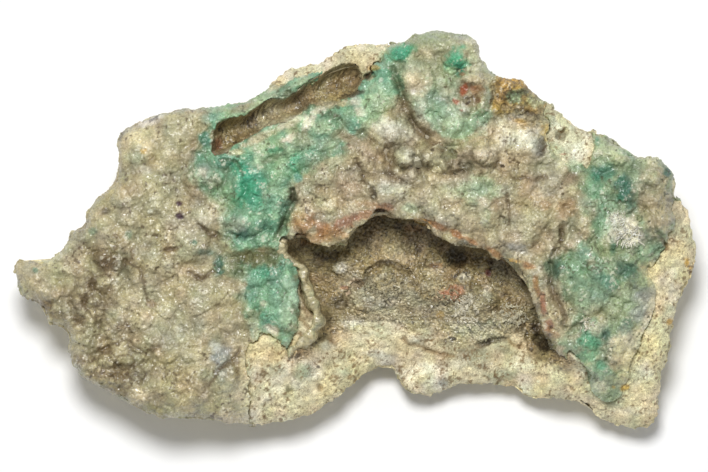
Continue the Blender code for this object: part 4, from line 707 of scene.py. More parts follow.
def joined_raster(outlines: list[Points], rasters: list[Raster]) -> Raster:
    """Distance to the free edge of outlines that share borders, positive inside them.

    The free edge is what is left of every outline once the stretches that another one
    touches are dropped, so a shared border counts as inside.

    Args:
        outlines: the corner points of each.
        rasters: the distance inside each.

    Returns:
        The distance as a raster.
    """
    edge = []
    for outline in outlines:
        points = rounded(outline, 10)
        near = np.sort([r.at(points[:, 0], points[:, 1]) for r in rasters], axis=0)[-2]
        edge.append(points[near < -2.2])
    edge = np.concatenate(edge)
    x, y = Raster.nodes()
    nearest = np.full(x.shape, np.inf)
    for ex, ey in edge:
        nearest = np.minimum(nearest, (x - ex) ** 2 + (y - ey) ** 2)
    ranked = np.sort([r.values for r in rasters], axis=0)
    inside = (ranked[-1] > 0.0) | ((ranked[-1] > -1.7) & (ranked[-2] > -2.2))
    nearest = np.sqrt(nearest)
    return Raster(np.where(inside, nearest, -nearest))


class Zone(Enum):
    """What owns a stretch of the face."""

    LEFT = "left"
    BAND = "band"
    HOOD = "hood"
    CROWN = "crown"
    FLANK = "flank"
    RUST = "rust"


CRUST_FIELDS = {
    Zone.LEFT: LEFT_FIELD, Zone.BAND: BAND_FIELD, Zone.HOOD: HOOD_FIELD,
    Zone.CROWN: CROWN_FIELD, Zone.FLANK: FLANK_FIELD, Zone.RUST: RUST_FIELD,
}
ALL_LOBES = LEFT_LOBES + HOOD_LOBES + CROWN_LOBES + BAND_LOBES + FLANK_LOBES + RUST_LOBES


class Skin(NamedTuple):
    """A skin over the face.

    Its height, what stands out along its normal, how dark its crevices are from 0 to 1 (stain and painted
    shade), and how bright each grain is from -1 to 1, which on the crusts holds a painted highlight on the
    knobs' tops.
    """

    height: Array
    relief: Array
    crevice: Array
    grain: Array


class Face:
    """The specimen's face: its outlines, its broad form and its skins."""

    def __init__(self) -> None:
        """Works out the distance rasters."""
        self.edge = inside_raster(OUTLINE)
        zones = {zone: inside_raster(outline) for zone, outline in CRUST_FIELDS.items()}
        self.crusts = joined_raster(list(CRUST_FIELDS.values()), list(zones.values())).wandering()
        self.zones = {zone: raster.wandering() for zone, raster in zones.items()}
        self.trough = inside_raster(TROUGH).wandering()
        self.vug = inside_raster(VUG).wandering()
        self.druse_field = inside_raster(VUG_DRUSE_FIELD).wandering()

    @staticmethod
    def ragged(x: Array, y: Array) -> Array:
        """How far an edge wanders in and out, in three sizes of tooth."""
        return (
            0.36 * rolling(x, y, 2.6, 91) + 0.28 * rolling(x, y, 1.2, 92) + 0.16 * rolling(x, y, 0.6, 93)
        )

    def unrolled(self, x: Array, y: Array) -> tuple[Array, Array]:
        """Where a pattern is read: shifted down the hollows' walls, so that they don't draw it out."""
        in_trough = self.edge_roll(self.trough.at(x, y), TROUGH_WALL, 1.0)
        down = PATTERN_SHIFT * self.steep_wall(x, y, 0.0) - 0.7 * TROUGH_DEPTH * in_trough
        return x + down, y + down

    def steep_wall(self, x: Array, y: Array, start: float) -> Array:
        """0 at a distance inside the vug's edge, 1 at its wall's foot, and 0 along its open front."""
        front = smoothstep(-y, -FRONT_FROM - 13.0, -FRONT_FROM + 7.0)
        return smoothstep(self.vug.at(x, y), start, VUG_WALL) * (1.0 - front)

    @staticmethod
    def edge_roll(distance: Array, width: Array | float, drop: Array | float) -> Array:
        """The drop near an edge, a quarter round: drop times 1 - sqrt(1 - q²)."""
        q = 1.0 - np.clip(distance / width, 0.0, 1.0)
        return drop * (1.0 - np.sqrt(1.0 - q**2 * 0.98))

    def ground(self, x: Array, y: Array) -> Array:
        """The broad form of the face with its rolled and bevelled edge, without its hollows."""
        width, drop = np.full(np.shape(x), ROLL_WIDTH), np.full(np.shape(x), ROLL_DROP)
        for cx, cy, rx, ry, more_width, more_drop in BEVELS.values():
            share = np.exp(-turned(x, y, cx, cy, rx, ry, 0.0) ** 4)
            width, drop = width + share * more_width, drop + share * more_drop
        level = swell(x, y, SWELLS) + 0.7 * rolling(x, y, 14.0, 3)
        return level - self.edge_roll(self.edge.at(x, y), width, drop)

    def open_face(self, x: Array, y: Array) -> Array:
        """The face with its two hollows in it, the vug and the trough, each with its wall."""
        level = self.ground(x, y)
        floor = VUG_FLOOR + swell(x, y, FLOOR_SWELLS) + 0.6 * rolling(x, y, 5.0, 11)
        wall = VUG_WALL + (VUG_FRONT_WALL - VUG_WALL) * smoothstep(-y, -FRONT_FROM, -FRONT_TO)
        in_vug = smoothstep(self.vug.at(x, y) / wall, 0.0, 1.0)
        floor = floor - self.edge_roll(self.edge.at(x, y), 6.0, 4.0)
        level = level + (np.minimum(floor, level) - level) * in_vug
        return level - TROUGH_DEPTH * (1.0 - self.edge_roll(self.trough.at(x, y), TROUGH_WALL, 1.0))

    def druse_distance(self, x: Array, y: Array) -> Array:
        """Distance inside the brown druse of the vug or the trough, its border a little frayed."""
        in_vug = np.minimum(self.vug.at(x, y), self.druse_field.at(x, y) + 0.9 * rolling(x, y, 3.0, 94))
        return np.maximum(in_vug, self.trough.at(x, y))

    def druse_share(self, x: Array, y: Array) -> Array:
        """1 where brown druse lines a hollow, 0 on bare rock."""
        return smoothstep(self.druse_distance(x, y), -0.9, 0.9)

    @staticmethod
    def cut(x: Array, y: Array) -> tuple[Array, Array]:
        """The cracks and hollows, each a bell across its path or its ellipse.

        Args:
            x, y: the points.

        Returns:
            How deep they cut, and how dark they are from 0 to 1: painted shade in the cracks, and in the
            hollows by their depth.
        """
        depth, dark = np.zeros(np.shape(x)), np.zeros(np.shape(x))
        wx, wy = x + 0.5 * rolling(x, y, 1.8, 95), y + 0.5 * rolling(x, y, 1.8, 96)
        for path, half_width, deep in CRACKS:
            share = np.exp(-((path_distance(wx, wy, path) / half_width) ** 2))
            depth, dark = np.maximum(depth, deep * share), np.maximum(dark, share)
        for *ellipse, deep in HOLLOWS:
            share = 1.0 - smoothstep(turned(wx, wy, *ellipse), 0.35, 1.15)
            depth, dark = np.maximum(depth, deep * share), np.maximum(dark, 0.25 * deep * share)
        return depth, np.clip(dark, 0.0, 1.0)

    def crust(self, x: Array, y: Array) -> Skin:
        """The crusts' common skin: lobes, knobs in two sizes and fine crystal ends.

        The height is the ground plus the highest lobe and bead and both sizes of knob,
        thinned where the crust thins out, less the cracks and the roll at the free edge.

        Args:
            x, y: the points.

        Returns:
            The skin there.
        """
        left = smoothstep(self.zones[Zone.LEFT].at(x, y), -1.0, 1.0)
        wx, wy = x + 0.35 * rolling(x, y, 2.2, 62), y + 0.35 * rolling(x, y, 2.2, 63)
        (wide, wide_crease), (close, close_crease) = knobs(wx, wy, 4.4, 5), knobs(wx, wy, 3.3, 5)
        large, crease = wide * left + close * (1.0 - left), wide_crease * left + close_crease * (1.0 - left)
        small, small_crease = knobs(wx, wy, 2.0, 61)
        knobby = 0.35 + 0.65 * spots(x, y, KNOBBY)
        deep, dark = self.cut(x, y)
        free = self.crusts.at(x, y) + self.ragged(x, y)
        thin = spots(x, y, THIN) * (1.0 - smoothstep(free, 0.0, 4.0))
        thick = lobes(x, y, ALL_LOBES) + lobes(x, y, BEADS) + 1.3 * large - 0.6 + 0.8 * small * knobby
        thick = thick + 0.14 * rolling(x, y, 1.3, 64) + 0.1 * rolling(x, y, 0.75, 65)
        height = self.ground(x, y) + thick * (1.0 - 0.8 * thin) - deep
        height = height - self.edge_roll(free, EDGE_ROLL_WIDTH, EDGE_ROLL_DROP * (1.0 - 0.5 * thin))
        plain = 1.0 - spots(x, y, SMOOTH)
        ends, grain = crystals(x, y, 0.62, 71, 0.4)
        fine, fine_grain = crystals(x, y, 0.34, 72, 0.4)
        relief = (ends + 0.7 * fine) * plain + 0.06 * rolling(x, y, 0.45, 73)
        stained = spots(x, y, STAINED)
        # The crevices' darkening: painted shade in the creases between knobs and in the cracks and hollows,
        # stronger as iron stain where the skin is stained, round the beads' and lobes' feet and in pits.
        open_line = 0.3 * smoothstep(rolling(x, y, 5.0, 66) + 0.8 * rolling(x, y, 1.3, 67), 0.1, 0.9)
        pit = smoothstep(rolling(x, y, 1.0, 68) + 0.6 * rolling(x, y, 0.5, 69), 0.75, 1.1)
        line = stained * smoothstep(rolling(x, y, 2.2, 67), -0.6, 0.2)
        crevice = np.maximum(crease, 0.9 * small_crease * knobby) * np.maximum(line, open_line)
        ringed = np.maximum(feet(wx, wy, BEADS), 0.7 * feet(wx, wy, LEFT_LOBES))
        crevice = np.maximum(crevice, stained * ringed)
        crevice = np.maximum(crevice, pit * (0.3 + 0.7 * stained))
        crevice = np.clip(np.maximum(crevice, dark), 0.0, 1.0)
        # Painted highlight and shade: each knob's top is painted lighter and its foot darker, through the
        # grains' brightness.
        dome = np.clip(1.5 * (large - 0.7) + 1.3 * (small - 0.7) * knobby, -1.2, 0.8)
        return Skin(height, relief, crevice, 0.5 * grain + 0.4 * fine_grain + dome)

    def floor(self, x: Array, y: Array) -> Skin:
        """The skin under and between the crusts: bare rock, and brown druse in the hollows.

        The height is the open face less the cracks, lowered under the crusts and kept
        below the hood's underside.

        Args:
            x, y: the points.

        Returns:
            The skin there.
        """
        druse = self.druse_share(x, y)
        deep, dark = self.cut(x, y)
        height = self.open_face(x, y) - deep
        height = height + lobes(x, y, BEADS) * smoothstep(-height, 3.0, 6.0)
        height = height + (1.0 - druse) * (0.6 * rolling(x, y, 4.0, 21) + 0.45 * rolling(x, y, 1.9, 22))
        cover = smoothstep(self.crusts.at(x, y), -0.5, 1.5)
        height = height - HOST_BELOW_CRUST * cover * (1.0 - druse) - 0.3 * (1.0 - druse)
        under_hood = smoothstep(self.zones[Zone.HOOD].at(x, y), 0.3, 1.2)
        roof = self.ground(x, y) - HOOD_OVER_DRUSE
        height = np.where(druse > 0.5, height + (np.minimum(height, roof) - height) * under_hood, height)
        u, v = self.unrolled(x, y)
        ends, grain = crystals(u, v, 0.55, 81, 1.0)
        fine, fine_grain = crystals(u, v, 0.38, 82, 1.0)
        rough = 0.24 * rolling(u, v, 1.0, 83) + 0.14 * rolling(u, v, 0.5, 84) + 0.3 * fine
        density = 0.5 * rolling(u, v, 3.6, 85) + 0.35 * rolling(u, v, 1.3, 89)
        pits = rolling(u, v, 0.42, 90) + 0.6 * rolling(u, v, 0.27, 78) + density
        pit = smoothstep(pits, 0.6, 0.95) * (1.0 - druse)
        ends = ends + 0.6 * fine + 0.35 * rolling(u, v, 1.6, 86)
        relief = druse * ends + (1.0 - druse) * rough - 0.1 * pit
        # Dark spots on the druse, painted shade of the pits between its crystals; with the rock's dark specks
        # and the painted shade of cracks and hollows, they darken the crevices.
        hollow = smoothstep(rolling(u, v, 1.1, 87) + 0.7 * rolling(u, v, 0.5, 88), 0.35, 1.0) * druse
        crevice = np.clip(np.maximum(np.maximum(pit, 0.8 * hollow), dark), 0.0, 1.0)
        return Skin(height, relief, crevice, 0.6 * grain + 0.5 * fine_grain)


# Colour: pigments laid on the face in washes and marks

# No stone is blacker or whiter than this.
DARKEST, PALEST = 0.004, 0.92


def hex_to_linear(colour: str) -> Array:
    """An sRGB hex colour as three linear numbers."""
    srgb = np.array([int(colour[i : i + 2], 16) for i in (1, 3, 5)]) / 255.0
    return np.where(srgb <= 0.04045, srgb / 12.92, ((srgb + 0.055) / 1.055) ** 2.4)


PIGMENT = {name: hex_to_linear(colour) for name, colour in PIGMENTS.items()}


class Palette(NamedTuple):
    """A zone's pigments and how strongly they show.

    Its ground, the two that cloud it, the one that darkens its crevices (stain and painted shade)
    with its share, the spread of its grains' brightness, and how densely dark specks are sown on it, from 0
    to 1.
    """

    ground: str
    cloud: str
    fleck: str
    crevice: str
    crevice_share: float
    grain: float
    specks: float


ZONE_PALETTES = {
    Zone.LEFT: Palette("stone", "light", "ash", "umber", 0.85, 0.12, 0.40),
    Zone.BAND: Palette("mint", "palemint", "teal", "umbergreen", 0.65, 0.14, 0.40),
    Zone.HOOD: Palette("greystone", "light", "ash", "umber", 0.80, 0.14, 0.45),
    Zone.CROWN: Palette("sage", "light", "palemint", "umber", 0.65, 0.14, 0.30),
    Zone.FLANK: Palette("greenstone", "light", "mint", "umbergreen", 0.70, 0.16, 0.45),
    Zone.RUST: Palette("limonite", "ochre", "tan", "umber", 0.80, 0.36, 0.60),
}
ROCK = Palette("cream", "chalk", "straw", "earth", 0.80, 0.14, 0.65)
# The druse's pigments are painted lighter: painted light for the shade in the vug.
DRUSE = Palette("vugbrown", "vuglight", "umber", "bister", 0.60, 0.42, 0.40)


class Painter:
    """Lays the pigments on a skin."""

    def __init__(self, face: Face) -> None:
        """Keeps the face whose zones it paints."""
        self.face = face

    @staticmethod
    def blend(under: Array, over: Array, share: Array) -> Array:
        """One colour over another, by a share from 0 to 1."""
        return under + (over - under) * share[..., None]

    def ground_coat(self, x: Array, y: Array, palette: Palette) -> Array:
        """A zone's ground pigment, clouded in patches of 6 mm and flecked in 2.5 mm."""
        cloud = 0.6 * smoothstep(rolling(x, y, 6.0, 101) + 0.5 * rolling(x, y, 2.4, 102), 0.0, 0.9)
        fleck = 0.5 * smoothstep(rolling(x, y, 3.4, 103) + 0.6 * rolling(x, y, 1.3, 104), 0.2, 1.0)
        ground = np.broadcast_to(PIGMENT[palette.ground], (*x.shape, 3))
        return self.blend(self.blend(ground, PIGMENT[palette.cloud], cloud), PIGMENT[palette.fleck], fleck)

    def finish(self, x: Array, y: Array, coat: Array, skin: Skin, palette_shares: list, steep: bool) -> Array:
        """Adds the patches, the crevices' darkening (stain, specks and painted shade), each grain's
        brightness and painted glints.

        Args:
            x, y: the points.
            coat: the ground colours, which the patches are painted into.
            skin: the skin there.
            palette_shares: each palette and how much of each point is its.
            steep: whether the speckle is read down the hollows' walls.

        Returns:
            The colours.
        """
        wander = 0.28 * rolling(x, y, 2.0, 111) + 0.2 * rolling(x, y, 0.9, 112)
        wander = wander + 0.12 * rolling(x, y, 0.45, 113)
        for pigment, cx, cy, rx, ry, turn, share in WASHES + MARKS:
            reach = 1.7 * max(rx, ry)
            near = (np.abs(x - cx) < reach) & (np.abs(y - cy) < reach)
            if near.any():
                r = turned(x[near], y[near], cx, cy, rx, ry, turn) + wander[near]
                over = share * (1.0 - smoothstep(r, 0.45, 1.2))
                coat[near] = self.blend(coat[near], PIGMENT[pigment], over)
        x, y = self.face.unrolled(x, y) if steep else (x, y)
        sown = rolling(x, y, 0.42, 114) + 0.55 * rolling(x, y, 0.8, 115) + 0.5 * rolling(x, y, 3.0, 116)
        tone = 1.0 + 0.12 * rolling(x, y, 1.5, 117) + 0.08 * rolling(x, y, 0.7, 118)
        warm, green = 0.06 * rolling(x, y, 3.1, 119), 0.03 * rolling(x, y, 2.3, 120)
        coat = coat * np.stack([tone + warm - green, tone + green, tone - 1.4 * warm - green], -1)
        for palette, part in palette_shares:
            # The crevices darken towards the palette's crevice pigment: partly stain and dark specks, partly
            # painted shade in creases, cracks and hollows.
            stain_and_shade = part * palette.crevice_share * skin.crevice
            coat = self.blend(coat, 0.7 * PIGMENT[palette.crevice] + 0.12 * coat, stain_and_shade)
            speck = smoothstep(sown, 1.05 - 0.6 * palette.specks, 1.35 - 0.6 * palette.specks)
            coat = self.blend(coat, 0.7 * PIGMENT[palette.crevice], 0.75 * part * speck)
            coat = coat * (1.0 + palette.grain * part * skin.grain)[..., None]
        # Painted glints: the brightest grains, most often on the knobs' painted tops, are lightened towards
        # chalk.
        painted_glint = smoothstep(skin.grain, 0.88, 1.05)
        return np.clip(self.blend(coat, PIGMENT["chalk"], 0.45 * painted_glint), DARKEST, PALEST)

    def crust(self, x: Array, y: Array, skin: Skin) -> Array:
        """The colours of the crusts, which run into one another over about 2 mm.

        Args:
            x, y: the points.
            skin: the skin there.

        Returns:
            The colours.
        """
        coat, total, shares = np.zeros((*x.shape, 3)), np.zeros(x.shape), []
        for number, (zone, palette) in enumerate(ZONE_PALETTES.items()):
            shift = 2.6 * rolling(x, y, 5.0, 121 + 3 * number) + 1.5 * rolling(x, y, 2.0, 122 + 3 * number)
            shift = shift + 0.7 * rolling(x, y, 0.8, 123 + 3 * number)
            part = smoothstep(self.face.zones[zone].at(x, y) + shift, -2.0, 2.0) + 1e-4
            coat += self.ground_coat(x, y, palette) * part[..., None]
            total += part
            shares.append((palette, part))
        shares = [(palette, part / total) for palette, part in shares]
        free = self.face.crusts.at(x, y) + 1.3 * rolling(x, y, 2.0, 131) + 0.6 * rolling(x, y, 0.8, 133)
        bare = 0.85 * spots(x, y, THIN) * (1.0 - smoothstep(free, 0.2, 3.0))
        coat = self.blend(coat / total[..., None], self.ground_coat(x, y, ROCK), bare)
        return self.finish(x, y, coat, skin, shares, False)

    def floor(self, x: Array, y: Array, skin: Skin) -> Array:
        """The colours of bare rock and of the brown druse in the hollows.

        Args:
            x, y: the points.
            skin: the skin there.

        Returns:
            The colours.
        """
        druse = self.face.druse_share(x, y)
        u, v = self.face.unrolled(x, y)
        coat = self.blend(self.ground_coat(u, v, ROCK), self.ground_coat(u, v, DRUSE), druse)
        near = self.face.crusts.at(x, y) + 1.5 * rolling(x, y, 2.0, 131) + 0.6 * rolling(x, y, 0.8, 133)
        coat = self.blend(coat, PIGMENT["sage"], 0.5 * smoothstep(near, -2.0, 0.4) * (1.0 - druse))
        coat = self.finish(x, y, coat, skin, [(ROCK, 1.0 - druse), (DRUSE, druse)], True)
        wall = smoothstep(self.face.vug.at(x, y), -1.0, 0.4) - self.face.steep_wall(x, y, 1.8)
        plain = self.ground_coat(u, v, DRUSE) * (0.8 + 0.25 * skin.grain)[..., None]
        share = 0.85 * np.clip(wall, 0.0, 1.0) * druse * (y > FRONT_FROM)
        return self.blend(coat, np.clip(plain, DARKEST, 0.9), share)

    def rock_side(self, along: Array, height: Array, skin: Skin) -> Array:
        """The colours of the block's broken sides, by the distance round it and the height."""
        coat = self.ground_coat(along, height, ROCK)
        iron = rolling(along, height, 7.0, 151) + 0.5 * rolling(along, height, 2.5, 152)
        coat = self.blend(coat, PIGMENT["vuglight"], 0.7 * smoothstep(iron, 0.1, 1.0))
        # Umber where the side stands furthest back: painted shade in its recesses.
        coat = self.blend(coat, 0.6 * PIGMENT["umber"] + 0.2 * coat, 0.7 * skin.crevice)
        return np.clip(coat * (1.0 + 0.2 * skin.grain)[..., None], DARKEST, PALEST)

    def shell_coat(self, along: Array, height: Array, skin: Skin) -> Array:
        """The curled shell: stone clouded with straw and sage, and brown at its foot."""
        coat = self.ground_coat(along, height, Palette("stone", "straw", "sage", "umber", 0.5, 0.3, 0.4))
        coat = self.blend(coat, PIGMENT["vugbrown"], 0.8 * skin.crevice)
        return np.clip(coat * (1.0 + 0.3 * skin.grain)[..., None], DARKEST, PALEST)


# Finishes


@dataclass(frozen=True)
class StoneFinish:
    """How one mineral takes the light.

    Its grain is the size of what sparkles on it, in millimetres: grains that differ in tone and gloss,
    the brightest with a painted glint. Mottle is how strongly those grains differ in tone. Bump is how far
    they stand out, in millimetres. Soft is the share of the light that sinks in and comes back out within a
    millimetre.
    """

    name: str
    grain: float
    mottle: float
    rough: float
    smooth: float
    bump: float
    ior: float
    soft: float = 0.0


# Fine hemimorphite druse: clear crystal ends of a third of a millimetre, some flashing with gloss and some
# with a painted glint.
HEMIMORPHITE = StoneFinish("drusy hemimorphite", 0.30, 0.55, 0.60, 0.14, 0.05, 1.62, 0.35)
# Aurichalcite: felted needles under clear druse, silky rather than glassy.
AURICHALCITE = StoneFinish("felted aurichalcite", 0.28, 0.55, 0.64, 0.22, 0.04, 1.65, 0.30)
# Brown druse: iron-stained crystal ends, glassy on their faces.
BROWN_DRUSE = StoneFinish("iron-stained druse", 0.32, 0.85, 0.60, 0.14, 0.05, 1.62)
# Dolomitic host rock: a dull, chalky broken grain.
HOST_ROCK = StoneFinish("chalky host rock", 0.26, 0.8, 0.90, 0.62, 0.05, 1.56)
# Limonite: an earthy crust with a waxy skin on its knobs.
LIMONITE = StoneFinish("earthy limonite", 0.30, 0.9, 0.80, 0.40, 0.05, 1.60)


def add_node(
    tree: bpy.types.NodeTree, kind: str, links: dict | None = None, **settings: object
) -> bpy.types.Node:
    """Adds a shader node.

    Args:
        tree: the material's node tree.
        kind: the node's type.
        links: for each input, by name or index, a socket to link or a value to set.
        settings: the node's own properties.

    Returns:
        The node.
    """
    node = tree.nodes.new(kind)
    for key, value in settings.items():
        setattr(node, key, value)
    for key, value in (links or {}).items():
        if isinstance(value, bpy.types.NodeSocket):
            tree.links.new(value, node.inputs[key])
        else:
            node.inputs[key].default_value = value
    return node


def stone_material(finish: StoneFinish) -> bpy.types.Material:
    """A mineral's material: the painted colour, mottled by grain, with painted glints on its brightest grains
    and some grains glossier than others.

    Args:
        finish: the mineral's finish.

    Returns:
        The material, which reads the mesh's own "paint" colours and object coordinates.
    """
    material = bpy.data.materials.new(finish.name)
    material.use_nodes = True
    tree = material.node_tree
    shader = tree.nodes["Principled BSDF"]
    place = add_node(tree, "ShaderNodeTexCoord").outputs["Object"]
    paint = add_node(tree, "ShaderNodeAttribute", attribute_name="paint").outputs["Color"]
    per_metre = 1.0 / (finish.grain * MM)
    cells = add_node(tree, "ShaderNodeTexVoronoi", {"Vector": place, "Scale": per_metre})
    number = add_node(tree, "ShaderNodeSeparateColor", {"Color": cells.outputs["Color"]})
    dust = add_node(
        tree, "ShaderNodeTexNoise",
        {"Vector": place, "Scale": 0.8 * per_metre, "Detail": 3.0, "Roughness": 0.7},
    )
    mixed = add_node(
        tree, "ShaderNodeMath", {0: number.outputs["Red"], 1: dust.outputs["Fac"]}, operation="ADD"
    )
    value = add_node(
        tree, "ShaderNodeMapRange",
        {"Value": mixed.outputs[0], "From Min": 0.35, "From Max": 1.65, "To Min": 0.0, "To Max": 1.0},
    )
    # The grains' tone, from a browner dark through the paint to 1.7 times it: the brightest grains are
    # painted glints.
    tint = add_node(tree, "ShaderNodeValToRGB", {"Fac": value.outputs[0]})
    stops = tint.color_ramp.elements
    stops[0].color, stops[1].color = (0.55, 0.47, 0.38, 1.0), (1.7, 1.7, 1.7, 1.0)
    stops.new(0.42).color = (0.97, 0.97, 0.96, 1.0)
    stops.new(0.72).color = (1.12, 1.12, 1.12, 1.0)
    colour = add_node(
        tree, "ShaderNodeMix", {"Factor": finish.mottle, 6: paint},
        data_type="RGBA", blend_type="MULTIPLY", clamp_factor=False,
    )
    tree.links.new(tint.outputs["Color"], colour.inputs[7])
    tree.links.new(colour.outputs[2], shader.inputs["Base Color"])
    roughness = add_node(
        tree, "ShaderNodeMapRange",
        {"Value": number.outputs["Green"], "From Min": 0.0, "From Max": 0.9,
         "To Min": finish.smooth, "To Max": finish.rough},
    )
    tree.links.new(roughness.outputs[0], shader.inputs["Roughness"])
    height = add_node(
        tree, "ShaderNodeMath",
        {0: cells.outputs["Distance"], 1: 0.6, 2: dust.outputs["Fac"]}, operation="MULTIPLY_ADD",
    )
    bump = add_node(
        tree, "ShaderNodeBump",
        {"Height": height.outputs[0], "Strength": 0.7, "Distance": finish.bump * MM},
    )
    tree.links.new(bump.outputs[0], shader.inputs["Normal"])
    shader.inputs["IOR"].default_value = finish.ior
    shader.inputs["Subsurface Weight"].default_value = finish.soft
    shader.inputs["Subsurface Radius"].default_value = (1.0, 0.95, 0.8)
    shader.inputs["Subsurface Scale"].default_value = 1.0 * MM
    shader.inputs["Metallic"].default_value = 0.0
    return material


# Meshes


def to_row(points: Array) -> Array:
    """Face coordinates in millimetres as places in metres, leant back with the face."""
    x, y, height = points[..., 0], points[..., 1], points[..., 2]
    lean, level = math.sin(FACE_LEAN), math.cos(FACE_LEAN)
    across, back = x + FACE_ORIGIN[0], y * level - height * lean + FACE_ORIGIN[1]
    return np.stack([across, back, y * lean + height * level + FACE_HEIGHT], -1) * MM


def grid_normals(points: Array) -> Array:
    """Unit normals of a grid of points, across times up."""
    normal = np.cross(np.gradient(points, axis=1), np.gradient(points, axis=0))
    return normal / (np.linalg.norm(normal, axis=-1, keepdims=True) + 1e-9)


def main_patch(keep: Array, heart: tuple[int, int]) -> Array:
    """The part of a mask that hangs together with one node of it, grown a step at a time.

    Args:
        keep: the mask.
        heart: the node's row and column.

    Returns:
        The part as a mask.
    """
    grown = np.zeros(keep.shape, bool)
    grown[heart] = True
    count = 0
    while count < (count := int(grown.sum())):
        for _ in range(24):
            grown[1:] |= grown[:-1]
            grown[:-1] |= grown[1:]
            grown[:, 1:] |= grown[:, :-1]
            grown[:, :-1] |= grown[:, 1:]
            grown &= keep
    return grown


def unpinched(whole: Array) -> Array:
    """A mask of quads without pairs that touch at one corner only, for such a rim can't be closed."""
    while True:
        a, b, c, d = whole[:-1, :-1], whole[:-1, 1:], whole[1:, :-1], whole[1:, 1:]
        pinch = (a & d & ~b & ~c) | (b & c & ~a & ~d)
        if not pinch.any():
            return whole
        whole = whole.copy()
        whole[1:, 1:] &= ~pinch
        whole[1:, :-1] &= ~pinch


def shrunk(mask: Array, steps: int) -> Array:
    """A mask without the nodes that lie within some steps of its edge."""
    mask = mask.copy()
    for _ in range(steps):
        whole = mask[1:-1, :-2] & mask[1:-1, 2:] & mask[:-2, 1:-1] & mask[2:, 1:-1]
        mask[1:-1, 1:-1] &= whole
        mask[0] = mask[-1] = mask[:, 0] = mask[:, -1] = False
    return mask


